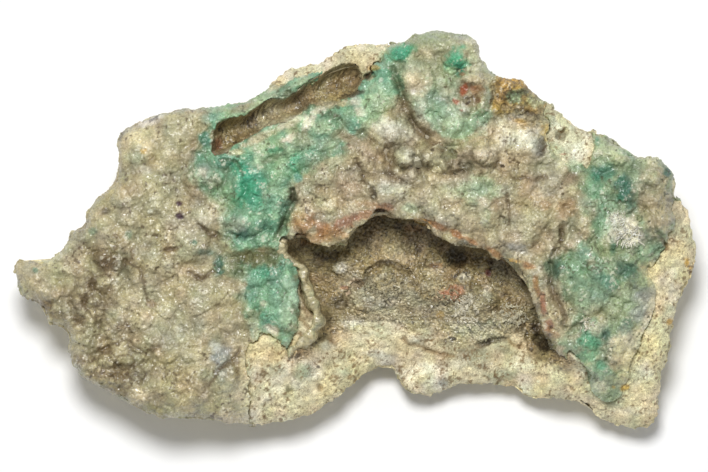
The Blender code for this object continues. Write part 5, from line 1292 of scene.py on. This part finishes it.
@dataclass
class Shell:
    """Points, faces and colours that make one closed surface, or several."""

    points: Array
    paint: Array
    quads: Array
    triangles: Array = field(default_factory=lambda: np.zeros((0, 3), int))

    @staticmethod
    def of_grid(
        points: Array, paint: Array, keep: Array, inside: Array, spacing: int, depth: float
    ) -> "Shell":
        """A closed shell: the kept part of a grid, and a coarse underside joined to its rim.

        The underside is the Delaunay triangulation, in the grid's own columns and rows, of
        the rim and of every so many nodes inside it, which lie back along the normals.

        Args:
            points, paint: the grid's points and colours.
            keep: the nodes that the skin has.
            inside: the nodes that the underside may copy.
            spacing: how many nodes apart the copies are.
            depth: how far back they lie.

        Returns:
            The shell, its faces outwards.
        """
        whole = unpinched(keep[:-1, :-1] & keep[:-1, 1:] & keep[1:, 1:] & keep[1:, :-1])
        low, high = slice(None, -1), slice(1, None)
        corners = ((low, low), (low, high), (high, high), (high, low))
        used = np.zeros(keep.shape, bool)
        for corner in corners:
            used[corner] |= whole
        index = np.full(keep.shape, -1)
        index[used] = np.arange(used.sum())
        quads = np.stack([index[c][whole] for c in corners], -1)
        edges = np.concatenate([quads[:, [i, (i + 1) % 4]] for i in range(4)])
        count = int(used.sum())
        single = ~np.isin(edges[:, 0] * count + edges[:, 1], edges[:, 1] * count + edges[:, 0])
        rim = edges[single]
        coarse = np.zeros(keep.shape, bool)
        coarse[::spacing, ::spacing] = True
        coarse &= shrunk(used & inside, spacing // 2)
        rows, columns = np.nonzero(used)
        rim_nodes = np.unique(rim)
        seats = np.stack([columns, rows], -1)[rim_nodes]
        seats = np.concatenate([seats, np.stack(np.nonzero(coarse)[::-1], -1)])
        back = points[coarse] - depth * grid_normals(points)[coarse]
        known = np.concatenate([rim_nodes, count + np.arange(len(back))])
        under = under_faces(seats, np.searchsorted(rim_nodes, rim), whole)
        places = np.concatenate([points[used], back])
        return Shell(places, np.concatenate([paint[used], paint[coarse]]), quads, known[under])

    @staticmethod
    def of_rings(points: Array, paint: Array) -> "Shell":
        """Rings one above the other as one band, with a fan of triangles over each end.

        Args:
            points, paint: a row for each ring, from the top down, each anticlockwise.

        Returns:
            The shell, its faces outwards.
        """
        rows, columns = points.shape[:2]
        index = np.arange(rows * columns).reshape(rows, columns)
        after = np.roll(index, -1, 1)
        quads = np.stack([index[:-1], index[1:], after[1:], after[:-1]], -1).reshape(-1, 4)
        first, last = np.full(columns, rows * columns), np.full(columns, rows * columns + 1)
        fans = [np.stack([first, index[0], after[0]], -1), np.stack([last, after[-1], index[-1]], -1)]
        middles = [points[0].mean(0), points[-1].mean(0)]
        tones = [paint[0].mean(0), paint[-1].mean(0)]
        places = np.concatenate([points.reshape(-1, 3), middles])
        return Shell(places, np.concatenate([paint.reshape(-1, 3), tones]), quads, np.concatenate(fans))

    @staticmethod
    def joined(shells: list["Shell"]) -> "Shell":
        """Several shells as one."""
        starts = np.cumsum([0] + [len(s.points) for s in shells[:-1]])
        return Shell(
            np.concatenate([s.points for s in shells]),
            np.concatenate([s.paint for s in shells]),
            np.concatenate([s.quads + start for s, start in zip(shells, starts)]),
            np.concatenate([s.triangles + start for s, start in zip(shells, starts)]),
        )

    def to_object(self, name: str, finish: StoneFinish) -> bpy.types.Object:
        """Makes the mesh, smooth over its quads, with its colours and its material.

        Args:
            name: the object's name.
            finish: its mineral's finish.

        Returns:
            The object, at the origin.
        """
        sizes = np.concatenate([np.full(len(self.quads), 4), np.full(len(self.triangles), 3)])
        loops = np.concatenate([self.quads.ravel(), self.triangles.ravel()])
        mesh = bpy.data.meshes.new(name)
        mesh.vertices.add(len(self.points))
        mesh.vertices.foreach_set("co", to_row(self.points).astype(np.float32).ravel())
        mesh.loops.add(len(loops))
        mesh.loops.foreach_set("vertex_index", loops.astype(np.int32))
        mesh.polygons.add(len(sizes))
        mesh.polygons.foreach_set("loop_start", (np.cumsum(sizes) - sizes).astype(np.int32))
        mesh.update(calc_edges=True)
        mesh.polygons.foreach_set("use_smooth", sizes == 4)
        colours = np.concatenate([self.paint, np.ones((len(self.paint), 1))], 1)
        attribute = mesh.attributes.new("paint", "FLOAT_COLOR", "POINT")
        attribute.data.foreach_set("color", colours.astype(np.float32).ravel())
        mesh.materials.append(stone_material(finish))
        made = bpy.data.objects.new(name, mesh)
        bpy.context.scene.collection.objects.link(made)
        return made


def under_faces(seats: Array, rim: Array, whole: Array) -> Array:
    """Triangles over the part of a grid inside a rim, turned to face downwards.

    Args:
        seats: the column and row of each point, the rim's first.
        rim: the rim's edges, as pairs of points.
        whole: which of the grid's quads are inside.

    Returns:
        Each triangle's three points.
    """
    flat = [Vector((float(u), float(v))) for u, v in seats]
    edges = [(int(a), int(b)) for a, b in rim]
    _, _, faces, origins, *_ = delaunay_2d_cdt(flat, edges, [], 0, 1e-5)
    own = np.array([origin[0] for origin in origins])
    found = own[np.array([tuple(f) for f in faces])]
    middle = seats[found].mean(1)
    column, row = middle[:, 0].astype(int), middle[:, 1].astype(int)
    return found[whole[row, column]][:, ::-1]


# How steeply a wall drops for what lies past its edge, how far a piece runs past its
# border before it ends, and how fast it dives there.
WALL_STRETCH = 1.6
OVERLAP, DIVE = 0.75, 12.0
# How wide a strip is turned under a wall's foot, how nearly upright the wall is, how fast the
# strip moves inwards, and how far past the edge the wall counts as begun.
TURNED_UNDER, UPRIGHT, INWARDS = 0.8, 0.985, 2.3
ON_WALL = -0.3


def wide_slope(values: Array, reach: int = 7) -> tuple[Array, Array]:
    """How much a grid's values rise a node across and up, taken over some nodes either way."""
    across = np.roll(values, -reach, 1) - np.roll(values, reach, 1)
    up = np.roll(values, -reach, 0) - np.roll(values, reach, 0)
    return across / (2 * reach), up / (2 * reach)


def turn_under(x: Array, y: Array, slope_of: Array, free: Array, wall: float) -> tuple[Array, Array, Array]:
    """Folds what lies past a free edge into a wall, and what lies past the wall under it.

    A node past the edge moves back to it along the distance's slope and drops by 1.6
    times what it was past. Past the wall's foot it moves on inwards.

    Args:
        x, y: a grid's nodes.
        slope_of: distance to the smooth free edge, whose slope says which way is in.
        free: distance to the frayed free edge, positive on the skin.
        wall: the wall's height.

    Returns:
        The moved x and y, and how far each node drops.
    """
    slope_x, slope_y = wide_slope(slope_of)
    length = np.hypot(slope_x, slope_y) + 1e-9
    past = np.maximum(-free, 0.0)
    foot = wall / WALL_STRETCH
    move = UPRIGHT * np.minimum(past, foot) + INWARDS * np.maximum(past - foot, 0.0)
    drop = WALL_STRETCH * np.minimum(past, foot)
    return x + slope_x / length * move, y + slope_y / length * move, drop


# The sheets of the face


def seated(piece: bpy.types.Object, node: str, slot: str) -> bpy.types.Object:
    """Seats a piece on the specimen: it rides its body and stands for its node, whose part is hidden."""
    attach(piece, "root")
    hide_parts(node)
    return piece


@dataclass
class Sheet:
    """A piece of the face's relief: which outline it fills, how finely, and how it is closed."""

    name: str
    node: str
    slot: str
    finish: StoneFinish
    outline: Points
    heart: tuple[float, float]
    step: float = 0.15
    wall: float = CRUST_WALL

    def nodes(self) -> tuple[Array, Array]:
        """The grid's x and y: the outline's box, cut to the specimen's, and the wall's strip."""
        reach = self.wall / WALL_STRETCH + TURNED_UNDER + 0.6
        own, whole = np.array(self.outline), np.array(OUTLINE)
        low = np.maximum(own.min(0) - OVERLAP, whole.min(0)) - reach
        high = np.minimum(own.max(0) + OVERLAP, whole.max(0)) + reach
        first, last = np.floor(low / self.step), np.ceil(high / self.step)
        x, y = (self.step * np.arange(a, b + 1) for a, b in zip(first, last))
        return np.meshgrid(x, y)

    def heart_node(self, x: Array, y: Array) -> tuple[int, int]:
        """The node nearest to the heart, a point that the piece surely holds."""
        place = np.unravel_index(np.argmin(np.hypot(x - self.heart[0], y - self.heart[1])), x.shape)
        return int(place[0]), int(place[1])

    def bent(self, face: Face, x: Array, y: Array, smooth: Array, past: Array, skin: Skin) -> Array:
        """The grid's points: the skin, diving past its borders and folded at its free edge.

        Args:
            face: the specimen's face.
            x, y: the grid's nodes.
            smooth: distance to the free edge before it is frayed.
            past: how far past its border the piece has run, as t in a dive of 12 t^2.2.
            skin: the skin there.

        Returns:
            Points in face coordinates, with the skin's relief put on along the normals.
        """
        free = self.frayed(face, x, y, smooth)
        px, py, drop = turn_under(x, y, smooth, free, self.wall)
        points = np.stack([px, py, skin.height - drop - DIVE * past**2.2], -1)
        lumps = 0.4 * rolling(x, y, 1.7, 74) * smoothstep(-free, 0.1, 0.9)
        return points + grid_normals(points) * (skin.relief + lumps)[..., None]

    def frayed(self, face: Face, x: Array, y: Array, smooth: Array) -> Array:
        """Distance to the free edge, ragged at the top of its wall and even at its foot."""
        return smooth + face.ragged(x, y) * (1.0 - smoothstep(-smooth, 0.4, 0.9 * self.wall / WALL_STRETCH))

    def within_wall(self, face: Face, x: Array, y: Array, smooth: Array, past: Array) -> Array:
        """Where the skin, its wall and the strip turned under it are.

        Halfway between two free edges the distance has a ridge, where its slope fails, and
        the walls that face each other end there. A wall also ends soon past its border, so
        that nothing of its dive hangs below the wall's foot.

        Args:
            face: the specimen's face.
            x, y: the grid's nodes.
            smooth: distance to the free edge before it is frayed.
            past: how far past its border the piece has run.

        Returns:
            A mask of the nodes.
        """
        slope = np.hypot(*wide_slope(smooth)) / self.step
        ridge = (smooth < -0.8) & (slope < 0.5)
        free = self.frayed(face, x, y, smooth)
        px, py, _ = turn_under(x, y, smooth, free, self.wall)
        outside = face.edge.at(px, py) <= -0.9
        diving = (smooth < ON_WALL) & (past > 0.35)
        return (free > -self.wall / WALL_STRETCH - TURNED_UNDER) & ~ridge & ~diving & ~outside


@dataclass
class CrustSheet(Sheet):
    """A crust: the crusts' common skin as far as it is nearer to its own zone than any other."""

    zone: Zone = Zone.LEFT

    @staticmethod
    def of_zone(
        name: str, node: str, slot: str, finish: StoneFinish, zone: Zone,
        heart: tuple[float, float], step: float = 0.15,
    ) -> "CrustSheet":
        """The crust of one zone, which fills the zone's own field."""
        return CrustSheet(name, node, slot, finish, CRUST_FIELDS[zone], heart, step, zone=zone)

    def build(self, face: Face, painter: Painter) -> bpy.types.Object:
        """Builds, paints and seats the crust.

        Args:
            face: the specimen's face.
            painter: what paints it.

        Returns:
            The crust's object.
        """
        x, y = self.nodes()
        smooth = np.minimum(face.crusts.at(x, y), face.edge.at(x, y))
        others = [zone.at(x, y) for name, zone in face.zones.items() if name is not self.zone]
        past = np.maximum(np.max(others, axis=0) - face.zones[self.zone].at(x, y), 0.0) / 2.0
        skin = face.crust(x, y)
        points = self.bent(face, x, y, smooth, past, skin)
        outer = face.edge.at(x, y)
        overhang = (outer < ON_WALL) & (face.crusts.at(x, y) < outer - 1.0)
        keep = (past < OVERLAP) & self.within_wall(face, x, y, smooth, past) & ~overhang
        keep = main_patch(keep, self.heart_node(x, y))
        inside = (smooth > 1.0) & (past == 0.0)
        shell = Shell.of_grid(points, painter.crust(x, y, skin), keep, inside, spacing=12, depth=3.0)
        extra = self.extras(face)
        return seated(Shell.joined([shell, *extra]).to_object(self.name, self.finish), self.node, self.slot)

    def extras(self, face: Face) -> list[Shell]:
        """What grows on the crust: a spray of white blades on the flank."""
        if self.zone is not Zone.FLANK:
            return []
        sprays = (
            Blades(46.8, -17.4, 1.3, 1.2, 30, 1.1, 0.36, "#e6e0ca", 311),
            Blades(52.8, 3.2, 1.5, 1.8, 60, 1.1, 0.26, "#f7f1de", 312),
            Blades(54.8, 0.2, 2.6, 2.2, 130, 1.2, 0.26, "#f7f1de", 313),
        )
        return [spray.shell(lambda x, y: face.crust(x, y).height) for spray in sprays]


@dataclass
class HostSheet(Sheet):
    """The bare rock of the face: the rim strips, the apron before the vug, and the notches."""

    def build(self, face: Face, painter: Painter) -> bpy.types.Object:
        """Builds, paints and seats the bare rock.

        Args:
            face: the specimen's face.
            painter: what paints it.

        Returns:
            The rock's object.
        """
        x, y = self.nodes()
        smooth = face.edge.at(x, y)
        crust = face.crusts.at(x, y) + face.ragged(x, y)
        past = np.maximum(np.maximum(crust - 0.5, face.druse_distance(x, y) - 0.45), 0.0)
        skin = face.floor(x, y)
        points = self.bent(face, x, y, smooth, past, skin)
        keep = (past < OVERLAP) & self.within_wall(face, x, y, smooth, past)
        keep &= ~self.under_crust(face, x, y, smooth)
        inside = (smooth > 1.0) & (past == 0.0)
        shell = Shell.of_grid(points, painter.floor(x, y, skin), keep, inside, spacing=8, depth=2.0)
        return seated(shell.to_object(self.name, self.finish), self.node, self.slot)

    @staticmethod
    def under_crust(face: Face, x: Array, y: Array, smooth: Array) -> Array:
        """Where the outer edge has a crust over it, as a look 1.5 mm inwards from the edge tells."""
        across, up = wide_slope(smooth)
        inwards = np.maximum(1.5 - smooth, 0.0) / (np.hypot(across, up) + 1e-9)
        return (smooth < 1.0) & (face.crusts.at(x + across * inwards, y + up * inwards) > 0.9)


@dataclass
class DruseSheet(Sheet):
    """The brown druse of a hollow, with the crystals that stand up from it."""

    def build(self, face: Face, painter: Painter) -> bpy.types.Object:
        """Builds, paints and seats the druse.

        Args:
            face: the specimen's face.
            painter: what paints it.

        Returns:
            The druse's object.
        """
        x, y = self.nodes()
        past = np.maximum(-0.25 - face.druse_distance(x, y), 0.0)
        skin = face.floor(x, y)
        points = np.stack([x, y, skin.height - DIVE * past**2.2], -1)
        points = points + grid_normals(points) * skin.relief[..., None]
        nearer = face.vug.at(x, y) > face.trough.at(x, y)
        keep = (past < OVERLAP) & (nearer == (self.node == "vug_druse"))
        paint = painter.floor(x, y, skin)
        shell = Shell.of_grid(points, paint, keep, past == 0.0, spacing=8, depth=1.5)
        extra = self.crystal_groups(face) if self.node == "vug_druse" else []
        return seated(Shell.joined([shell, *extra]).to_object(self.name, self.finish), self.node, self.slot)

    @staticmethod
    def crystal_groups(face: Face) -> list[Shell]:
        """The glassy crystals that catch the light on the vug's floor."""
        groups = (
            Blades(22.6, -14.8, 2.4, 3.2, 100, 0.9, 0.60, "#d0cab4", 321),
            Blades(31.5, -16.0, 3.8, 2.2, 70, 0.9, 0.60, "#c6c0a6", 322),
            Blades(5.5, -10.4, 4.0, 2.6, 80, 0.9, 0.60, "#b0a88c", 323),
            Blades(17.5, -12.0, 4.2, 2.2, 60, 0.8, 0.60, "#a39a7c", 324),
        )
        return [group.shell(lambda x, y: face.floor(x, y).height) for group in groups]


@dataclass
class Blades:
    """A group of small bladed crystals: a centre, two radii, how many, how long and how wide."""

    x: float
    y: float
    rx: float
    ry: float
    count: int
    length: float
    width: float
    colour: str
    seed: int

    def shell(self, ground: Callable[[Array, Array], Array]) -> Shell:
        """Slim boxes that narrow to a slanted end, each rooted in the ground and leaning its way.

        A blade's corner is its root, plus its length times its axis, plus half its width
        along two directions square to the axis.

        Args:
            ground: the height of the skin that they stand on.

        Returns:
            The blades as one shell.
        """
        number = np.arange(self.count)
        pick = [lattice(number, number * 3 + k, self.seed) for k in range(7)]
        angle, away = 2.0 * math.pi * pick[0], np.sqrt(pick[1])
        x, y = self.x + self.rx * away * np.cos(angle), self.y + self.ry * away * np.sin(angle)
        root = np.stack([x, y, ground(x, y) - 0.35], -1)
        swing, lean = 2.0 * math.pi * pick[2], 0.35 + 0.75 * pick[3]
        axis = np.stack([np.sin(lean) * np.cos(swing), np.sin(lean) * np.sin(swing), np.cos(lean)], -1)
        side = np.cross(axis, np.stack([np.cos(swing * 1.7), np.sin(swing * 1.7), 0.2 + 0 * swing], -1))
        side /= np.linalg.norm(side, axis=-1, keepdims=True)
        across = np.cross(axis, side)
        length = self.length * (0.55 + 0.9 * pick[4])
        half = 0.5 * self.width * (0.6 + 0.8 * pick[5])
        corners = []
        for up, narrow in ((0.0, 1.0), (1.0, 0.62)):
            for i, j in ((-1, -1), (1, -1), (1, 1), (-1, 1)):
                reach = length * (up + 0.16 * up * i)
                step = side * (half * i * narrow)[:, None] + across * (0.45 * half * j * narrow)[:, None]
                corners.append(root + axis * reach[:, None] + step)
        points = np.stack(corners, 1).reshape(-1, 3)
        box = np.array([(3, 2, 1, 0), (4, 5, 6, 7), (0, 1, 5, 4), (1, 2, 6, 5), (2, 3, 7, 6), (3, 0, 4, 7)])
        halves = np.concatenate([box[:, [0, 1, 2]], box[:, [0, 2, 3]]])
        triangles = (halves[None] + 8 * number[:, None, None]).reshape(-1, 3)
        tone = hex_to_linear(self.colour)[None] * (0.8 + 0.4 * pick[6])[:, None]
        return Shell(points, np.clip(np.repeat(tone, 8, 0), 0.0, 0.9), np.zeros((0, 4), int), triangles)


@dataclass
class HostBlock:
    """The broken block under the face: its sides and the flat face that it lies on."""

    around: int = 1050
    rings: int = 76
    inner: int = 8
    deepest: float = -17.2

    def rim(self) -> tuple[Array, Array, Array]:
        """The outline at even steps, taken anticlockwise: x, y and the distance along it."""
        curve = rounded(OUTLINE, 12)
        closed = np.concatenate([curve, curve[:1]])
        along = np.concatenate([[0.0], np.cumsum(np.hypot(*np.diff(closed, axis=0).T))])
        even = np.linspace(0.0, along[-1], self.around, endpoint=False)[::-1]
        return np.interp(even, along, closed[:, 0]), np.interp(even, along, closed[:, 1]), even

    @staticmethod
    def drawn_in(x: Array, y: Array, depth: Array, more: Array | float) -> tuple[Array, Array]:
        """The broken sides: points move in towards the middle, more lower down, in leaning ledges."""
        ledges = rolling(x + 30.0 * depth, y - 22.0 * depth, 15.0, 31) + 2.4 * depth
        inset = SIDE_LEAN * depth**1.8 + SIDE_LEDGE * smoothstep(ledges, 0.5, 0.9) + more
        inset = inset + SIDE_CHIPS * depth * (1.0 + rolling(x - 18.0 * depth, y + 12.0 * depth, 6.0, 32))
        shrink = 1.0 - inset / np.maximum(np.hypot(x, y), 24.0)
        return x * shrink, y * shrink

    @staticmethod
    def base(y: Array) -> Array:
        """The face height at which the specimen's flat underside lies."""
        return (-FACE_HEIGHT - y * math.sin(FACE_LEAN)) / math.cos(FACE_LEAN)

    def build(self, face: Face, painter: Painter) -> bpy.types.Object:
        """Builds the block as rings: up inside it from a deep lid, over the rim, down its sides.

        Args:
            face: the specimen's face.
            painter: what paints it.

        Returns:
            The block's object.
        """
        rim_x, rim_y, along = self.rim()
        cover = smoothstep(face.crusts.at(rim_x, rim_y), -0.5, 1.5)
        top = face.open_face(rim_x, rim_y) - 0.9 - 0.5 * cover
        inset = 0.25 + 0.6 * cover
        rise = np.linspace(1.0, 0.0, self.inner)[:, None]
        height = top + (self.deepest - top) * rise
        inner_depth = (height - top) / (self.base(rim_y) - top)
        x, y = self.drawn_in(rim_x[None], rim_y[None], inner_depth, inset + 1.6 + 1.5 * rise)
        pull = 0.34 * smoothstep(rise, 0.8, 1.0)
        x, y = x + (np.clip(0.82 * rim_x, -50, 50) - x) * pull, y + (0.1 * rim_y - y) * pull
        depth = np.linspace(0.0, 1.0, self.rings)[:, None] ** 1.1
        side_x, side_y = self.drawn_in(rim_x[None], rim_y[None], 0.96 * depth, inset)
        level = top + (self.base(side_y) - top) * depth
        place = np.stack([side_x, side_y, level], -1)
        rough = 0.9 * rolling_solid(place, 3.1, 33) + 0.5 * rolling_solid(place, 1.4, 34)
        rough = (rough + 0.3 * rolling_solid(place, 0.7, 35)) * smoothstep(depth, 0.0, 0.05)
        rough = rough * (1.0 - depth**6)
        radius = np.hypot(side_x, side_y)
        side_x, side_y = side_x * (1.0 + rough / radius), side_y * (1.0 + rough / radius)
        level = np.where(depth < 1.0, level, self.base(side_y))
        inner, outer = np.stack([x, y, height], -1), np.stack([side_x, side_y, level], -1)
        points = np.concatenate([inner, outer])
        skin = self.skin(along, points, np.concatenate([0.0 * x, rough]))
        paint = painter.rock_side(np.broadcast_to(along, skin.height.shape), skin.height, skin)
        made = Shell.of_rings(points, paint).to_object("host_block", HOST_ROCK)
        return seated(made, "host_rock", "chalky_host_rock")

    @staticmethod
    def skin(along: Array, points: Array, rough: Array) -> Skin:
        """The sides' skin, whose crevices are where the rock stands furthest back."""
        height = points[..., 2]
        grain = rolling(np.broadcast_to(along, height.shape), height, 0.5, 36)
        return Skin(height, 0.0 * height, smoothstep(-rough, 0.25, 1.1), grain)


@dataclass
class CurledShell:
    """A thin torn curl of crust that stands on edge along the vug's left side."""

    step: float = 0.16
    rows: int = 58

    def build(self, face: Face, painter: Painter) -> bpy.types.Object:
        """Carries a wall's section along the curl's path: up its outside, over its lip, down.

        Args:
            face: the specimen's face.
            painter: what paints it.

        Returns:
            The shell's object.
        """
        path = np.array(CURLED_SHELL_PATH)
        knots = np.arange(len(path))
        fine = np.linspace(0, len(path) - 1, 60 * len(path))
        curve = np.stack([np.interp(fine, knots, path[:, i]) for i in (0, 1)], -1)
        for _ in range(40):
            curve[1:-1] = 0.25 * curve[:-2] + 0.5 * curve[1:-1] + 0.25 * curve[2:]
        along = np.concatenate([[0.0], np.cumsum(np.hypot(*np.diff(curve, axis=0).T))])
        even = np.arange(0.0, along[-1], self.step)
        px, py = (np.interp(even, along, curve[:, i]) for i in (0, 1))
        tx, ty = np.gradient(px), np.gradient(py)
        length = np.hypot(tx, ty)
        nx, ny = ty / length, -tx / length
        turn = np.linspace(0.0, 2.0 * math.pi, self.rows, endpoint=False)[:, None]
        section = np.sign(np.cos(turn)) * np.abs(np.cos(turn)) ** 0.5
        lift = 0.5 + 0.5 * np.sign(np.sin(turn)) * np.abs(np.sin(turn)) ** 0.6
        lip = face.ground(px, py) + 0.5 * rolling(px, py, 3.0, 51) + 0.4 * rolling(px, py, 0.9, 52)
        foot = VUG_FLOOR - 1.5
        height = foot + (lip - foot)[None] * lift
        taper = np.minimum(1.0, np.minimum(even, even[-1] - even) / 1.2 + 0.15)
        wall = 0.5 * SHELL_WALL * taper * (1.0 + 0.5 * rolling(even, 0 * even, 1.7, 53))
        u = even[None] + 0 * turn
        sway = 0.35 * rolling(u, height, 2.6, 54) + 0.2 * rolling(u, height, 1.1, 55)
        across = wall[None] * section + sway
        points = np.stack([px[None] + nx[None] * across, py[None] + ny[None] * across, height], -1)
        v = height + 12.0 * (section > 0)
        ends, grain = crystals(u, v, 0.5, 56, 0.5)
        points = points + grid_normals(points) * (0.5 * ends)[..., None]
        deep = smoothstep(-lift, -0.9, -0.45)
        skin = Skin(height, 0 * height, 0.7 * deep, grain)
        coat = painter.shell_coat(u, v, skin)
        shell = Shell.of_rings(points.transpose(1, 0, 2), coat.transpose(1, 0, 2))
        return seated(shell.to_object("curled_shell_skin", HEMIMORPHITE), "curled_shell", "grey_crust")


@dataclass
class Studio:
    """A white floor, even light all round, and one soft lamp overhead; the camera looks down."""

    floor_white: float = 0.94
    sky: tuple[float, float, float] = (0.30, 0.31, 0.33)
    lamp_power: float = 12.0
    lamp_side: float = 0.36
    lamp_place: tuple[float, float, float] = (-0.07, 0.19, 1.2)
    camera_away: float = 2.0
    picture_width: float = 0.1416

    def build(self) -> None:
        """Sets up the floor, the light, the sky and the camera."""
        scene = bpy.context.scene
        scene.view_settings.view_transform = "Standard"
        mesh = bpy.data.meshes.new("floor")
        corners = [(-2.5, -2.5, 0.0), (2.5, -2.5, 0.0), (2.5, 2.5, 0.0), (-2.5, 2.5, 0.0)]
        mesh.from_pydata(corners, [], [(0, 1, 2, 3)])
        floor = bpy.data.objects.new("floor", mesh)
        scene.collection.objects.link(floor)
        paper = bpy.data.materials.new("white paper")
        paper.use_nodes = True
        shader = paper.node_tree.nodes["Principled BSDF"]
        shader.inputs["Base Color"].default_value = (self.floor_white,) * 3 + (1.0,)
        shader.inputs["Roughness"].default_value = 0.9
        shader.inputs["Specular IOR Level"].default_value = 0.1
        mesh.materials.append(paper)
        world = bpy.data.worlds.new("sky")
        world.use_nodes = True
        world.node_tree.nodes["Background"].inputs["Color"].default_value = (*self.sky, 1.0)
        scene.world = world
        lamp = bpy.data.lights.new("softbox", "AREA")
        lamp.energy, lamp.shape, lamp.size = self.lamp_power, "DISK", self.lamp_side
        lamp_object = bpy.data.objects.new("softbox", lamp)
        lamp_object.location = self.lamp_place
        away = np.array(self.lamp_place) - np.array([0.0, 0.0, 0.02])
        lamp_object.rotation_euler = (-math.atan2(away[1], away[2]), math.atan2(away[0], away[2]), 0.0)
        scene.collection.objects.link(lamp_object)
        self.aim(scene)

    def aim(self, scene: bpy.types.Scene) -> None:
        """Puts the camera square before the middle of the face, 2 m away.

        Args:
            scene: the scene that is given the camera.
        """
        camera = bpy.data.cameras.new("camera")
        camera.sensor_width, camera.clip_end = 36.0, 10.0
        camera.lens = 36.0 * self.camera_away / self.picture_width
        camera_object = bpy.data.objects.new("camera", camera)
        middle = to_row(np.array([0.0, 0.0, 0.0]))
        normal = np.array([0.0, -math.sin(FACE_LEAN), math.cos(FACE_LEAN)])
        camera_object.location = middle + normal * self.camera_away
        camera_object.rotation_euler = (FACE_LEAN, 0.0, 0.0)
        scene.collection.objects.link(camera_object)
        scene.camera = camera_object


def main() -> None:
    """Builds the studio and every piece of the specimen."""
    logging.basicConfig(level=logging.INFO, format="%(message)s")
    Studio().build()
    face = Face()
    painter = Painter(face)
    crust, grey, green = CrustSheet.of_zone, "grey_crust", "aurichalcite"
    host_outline = [(-70.0, -40.0), (70.0, -40.0), (70.0, 43.0), (-70.0, 43.0)]
    pieces = [
        HostBlock(),
        HostSheet("bare_rock", "host_rock", "chalky_host_rock", HOST_ROCK, host_outline, (16, -26), 0.2, 3.0),
        crust("left_crust_skin", "left_crust", grey, HEMIMORPHITE, Zone.LEFT, (-40, -8), 0.17),
        crust("band_skin", "aurichalcite_band", green, AURICHALCITE, Zone.BAND, (-18, 6)),
        crust("hood_skin", "hood_crust", grey, HEMIMORPHITE, Zone.HOOD, (14, 10)),
        crust("crown_skin", "crown_crust", grey, HEMIMORPHITE, Zone.CROWN, (18, 32)),
        crust("flank_skin", "aurichalcite_flank", green, AURICHALCITE, Zone.FLANK, (50, 0)),
        crust("limonite_skin", "limonite_knobs", "limonite", LIMONITE, Zone.RUST, (32, 28)),
        DruseSheet("vug_floor", "vug_druse", "brown_druse", BROWN_DRUSE, VUG, (10, -6)),
        DruseSheet("trough_floor", "trough_druse", "brown_druse", BROWN_DRUSE, TROUGH, (-10, 26)),
        CurledShell(),
    ]
    for piece in pieces:
        made = piece.build(face, painter)
        LOG.info("%s: %d faces", made.name, len(made.data.polygons))


if __name__ == "__main__":
    main()
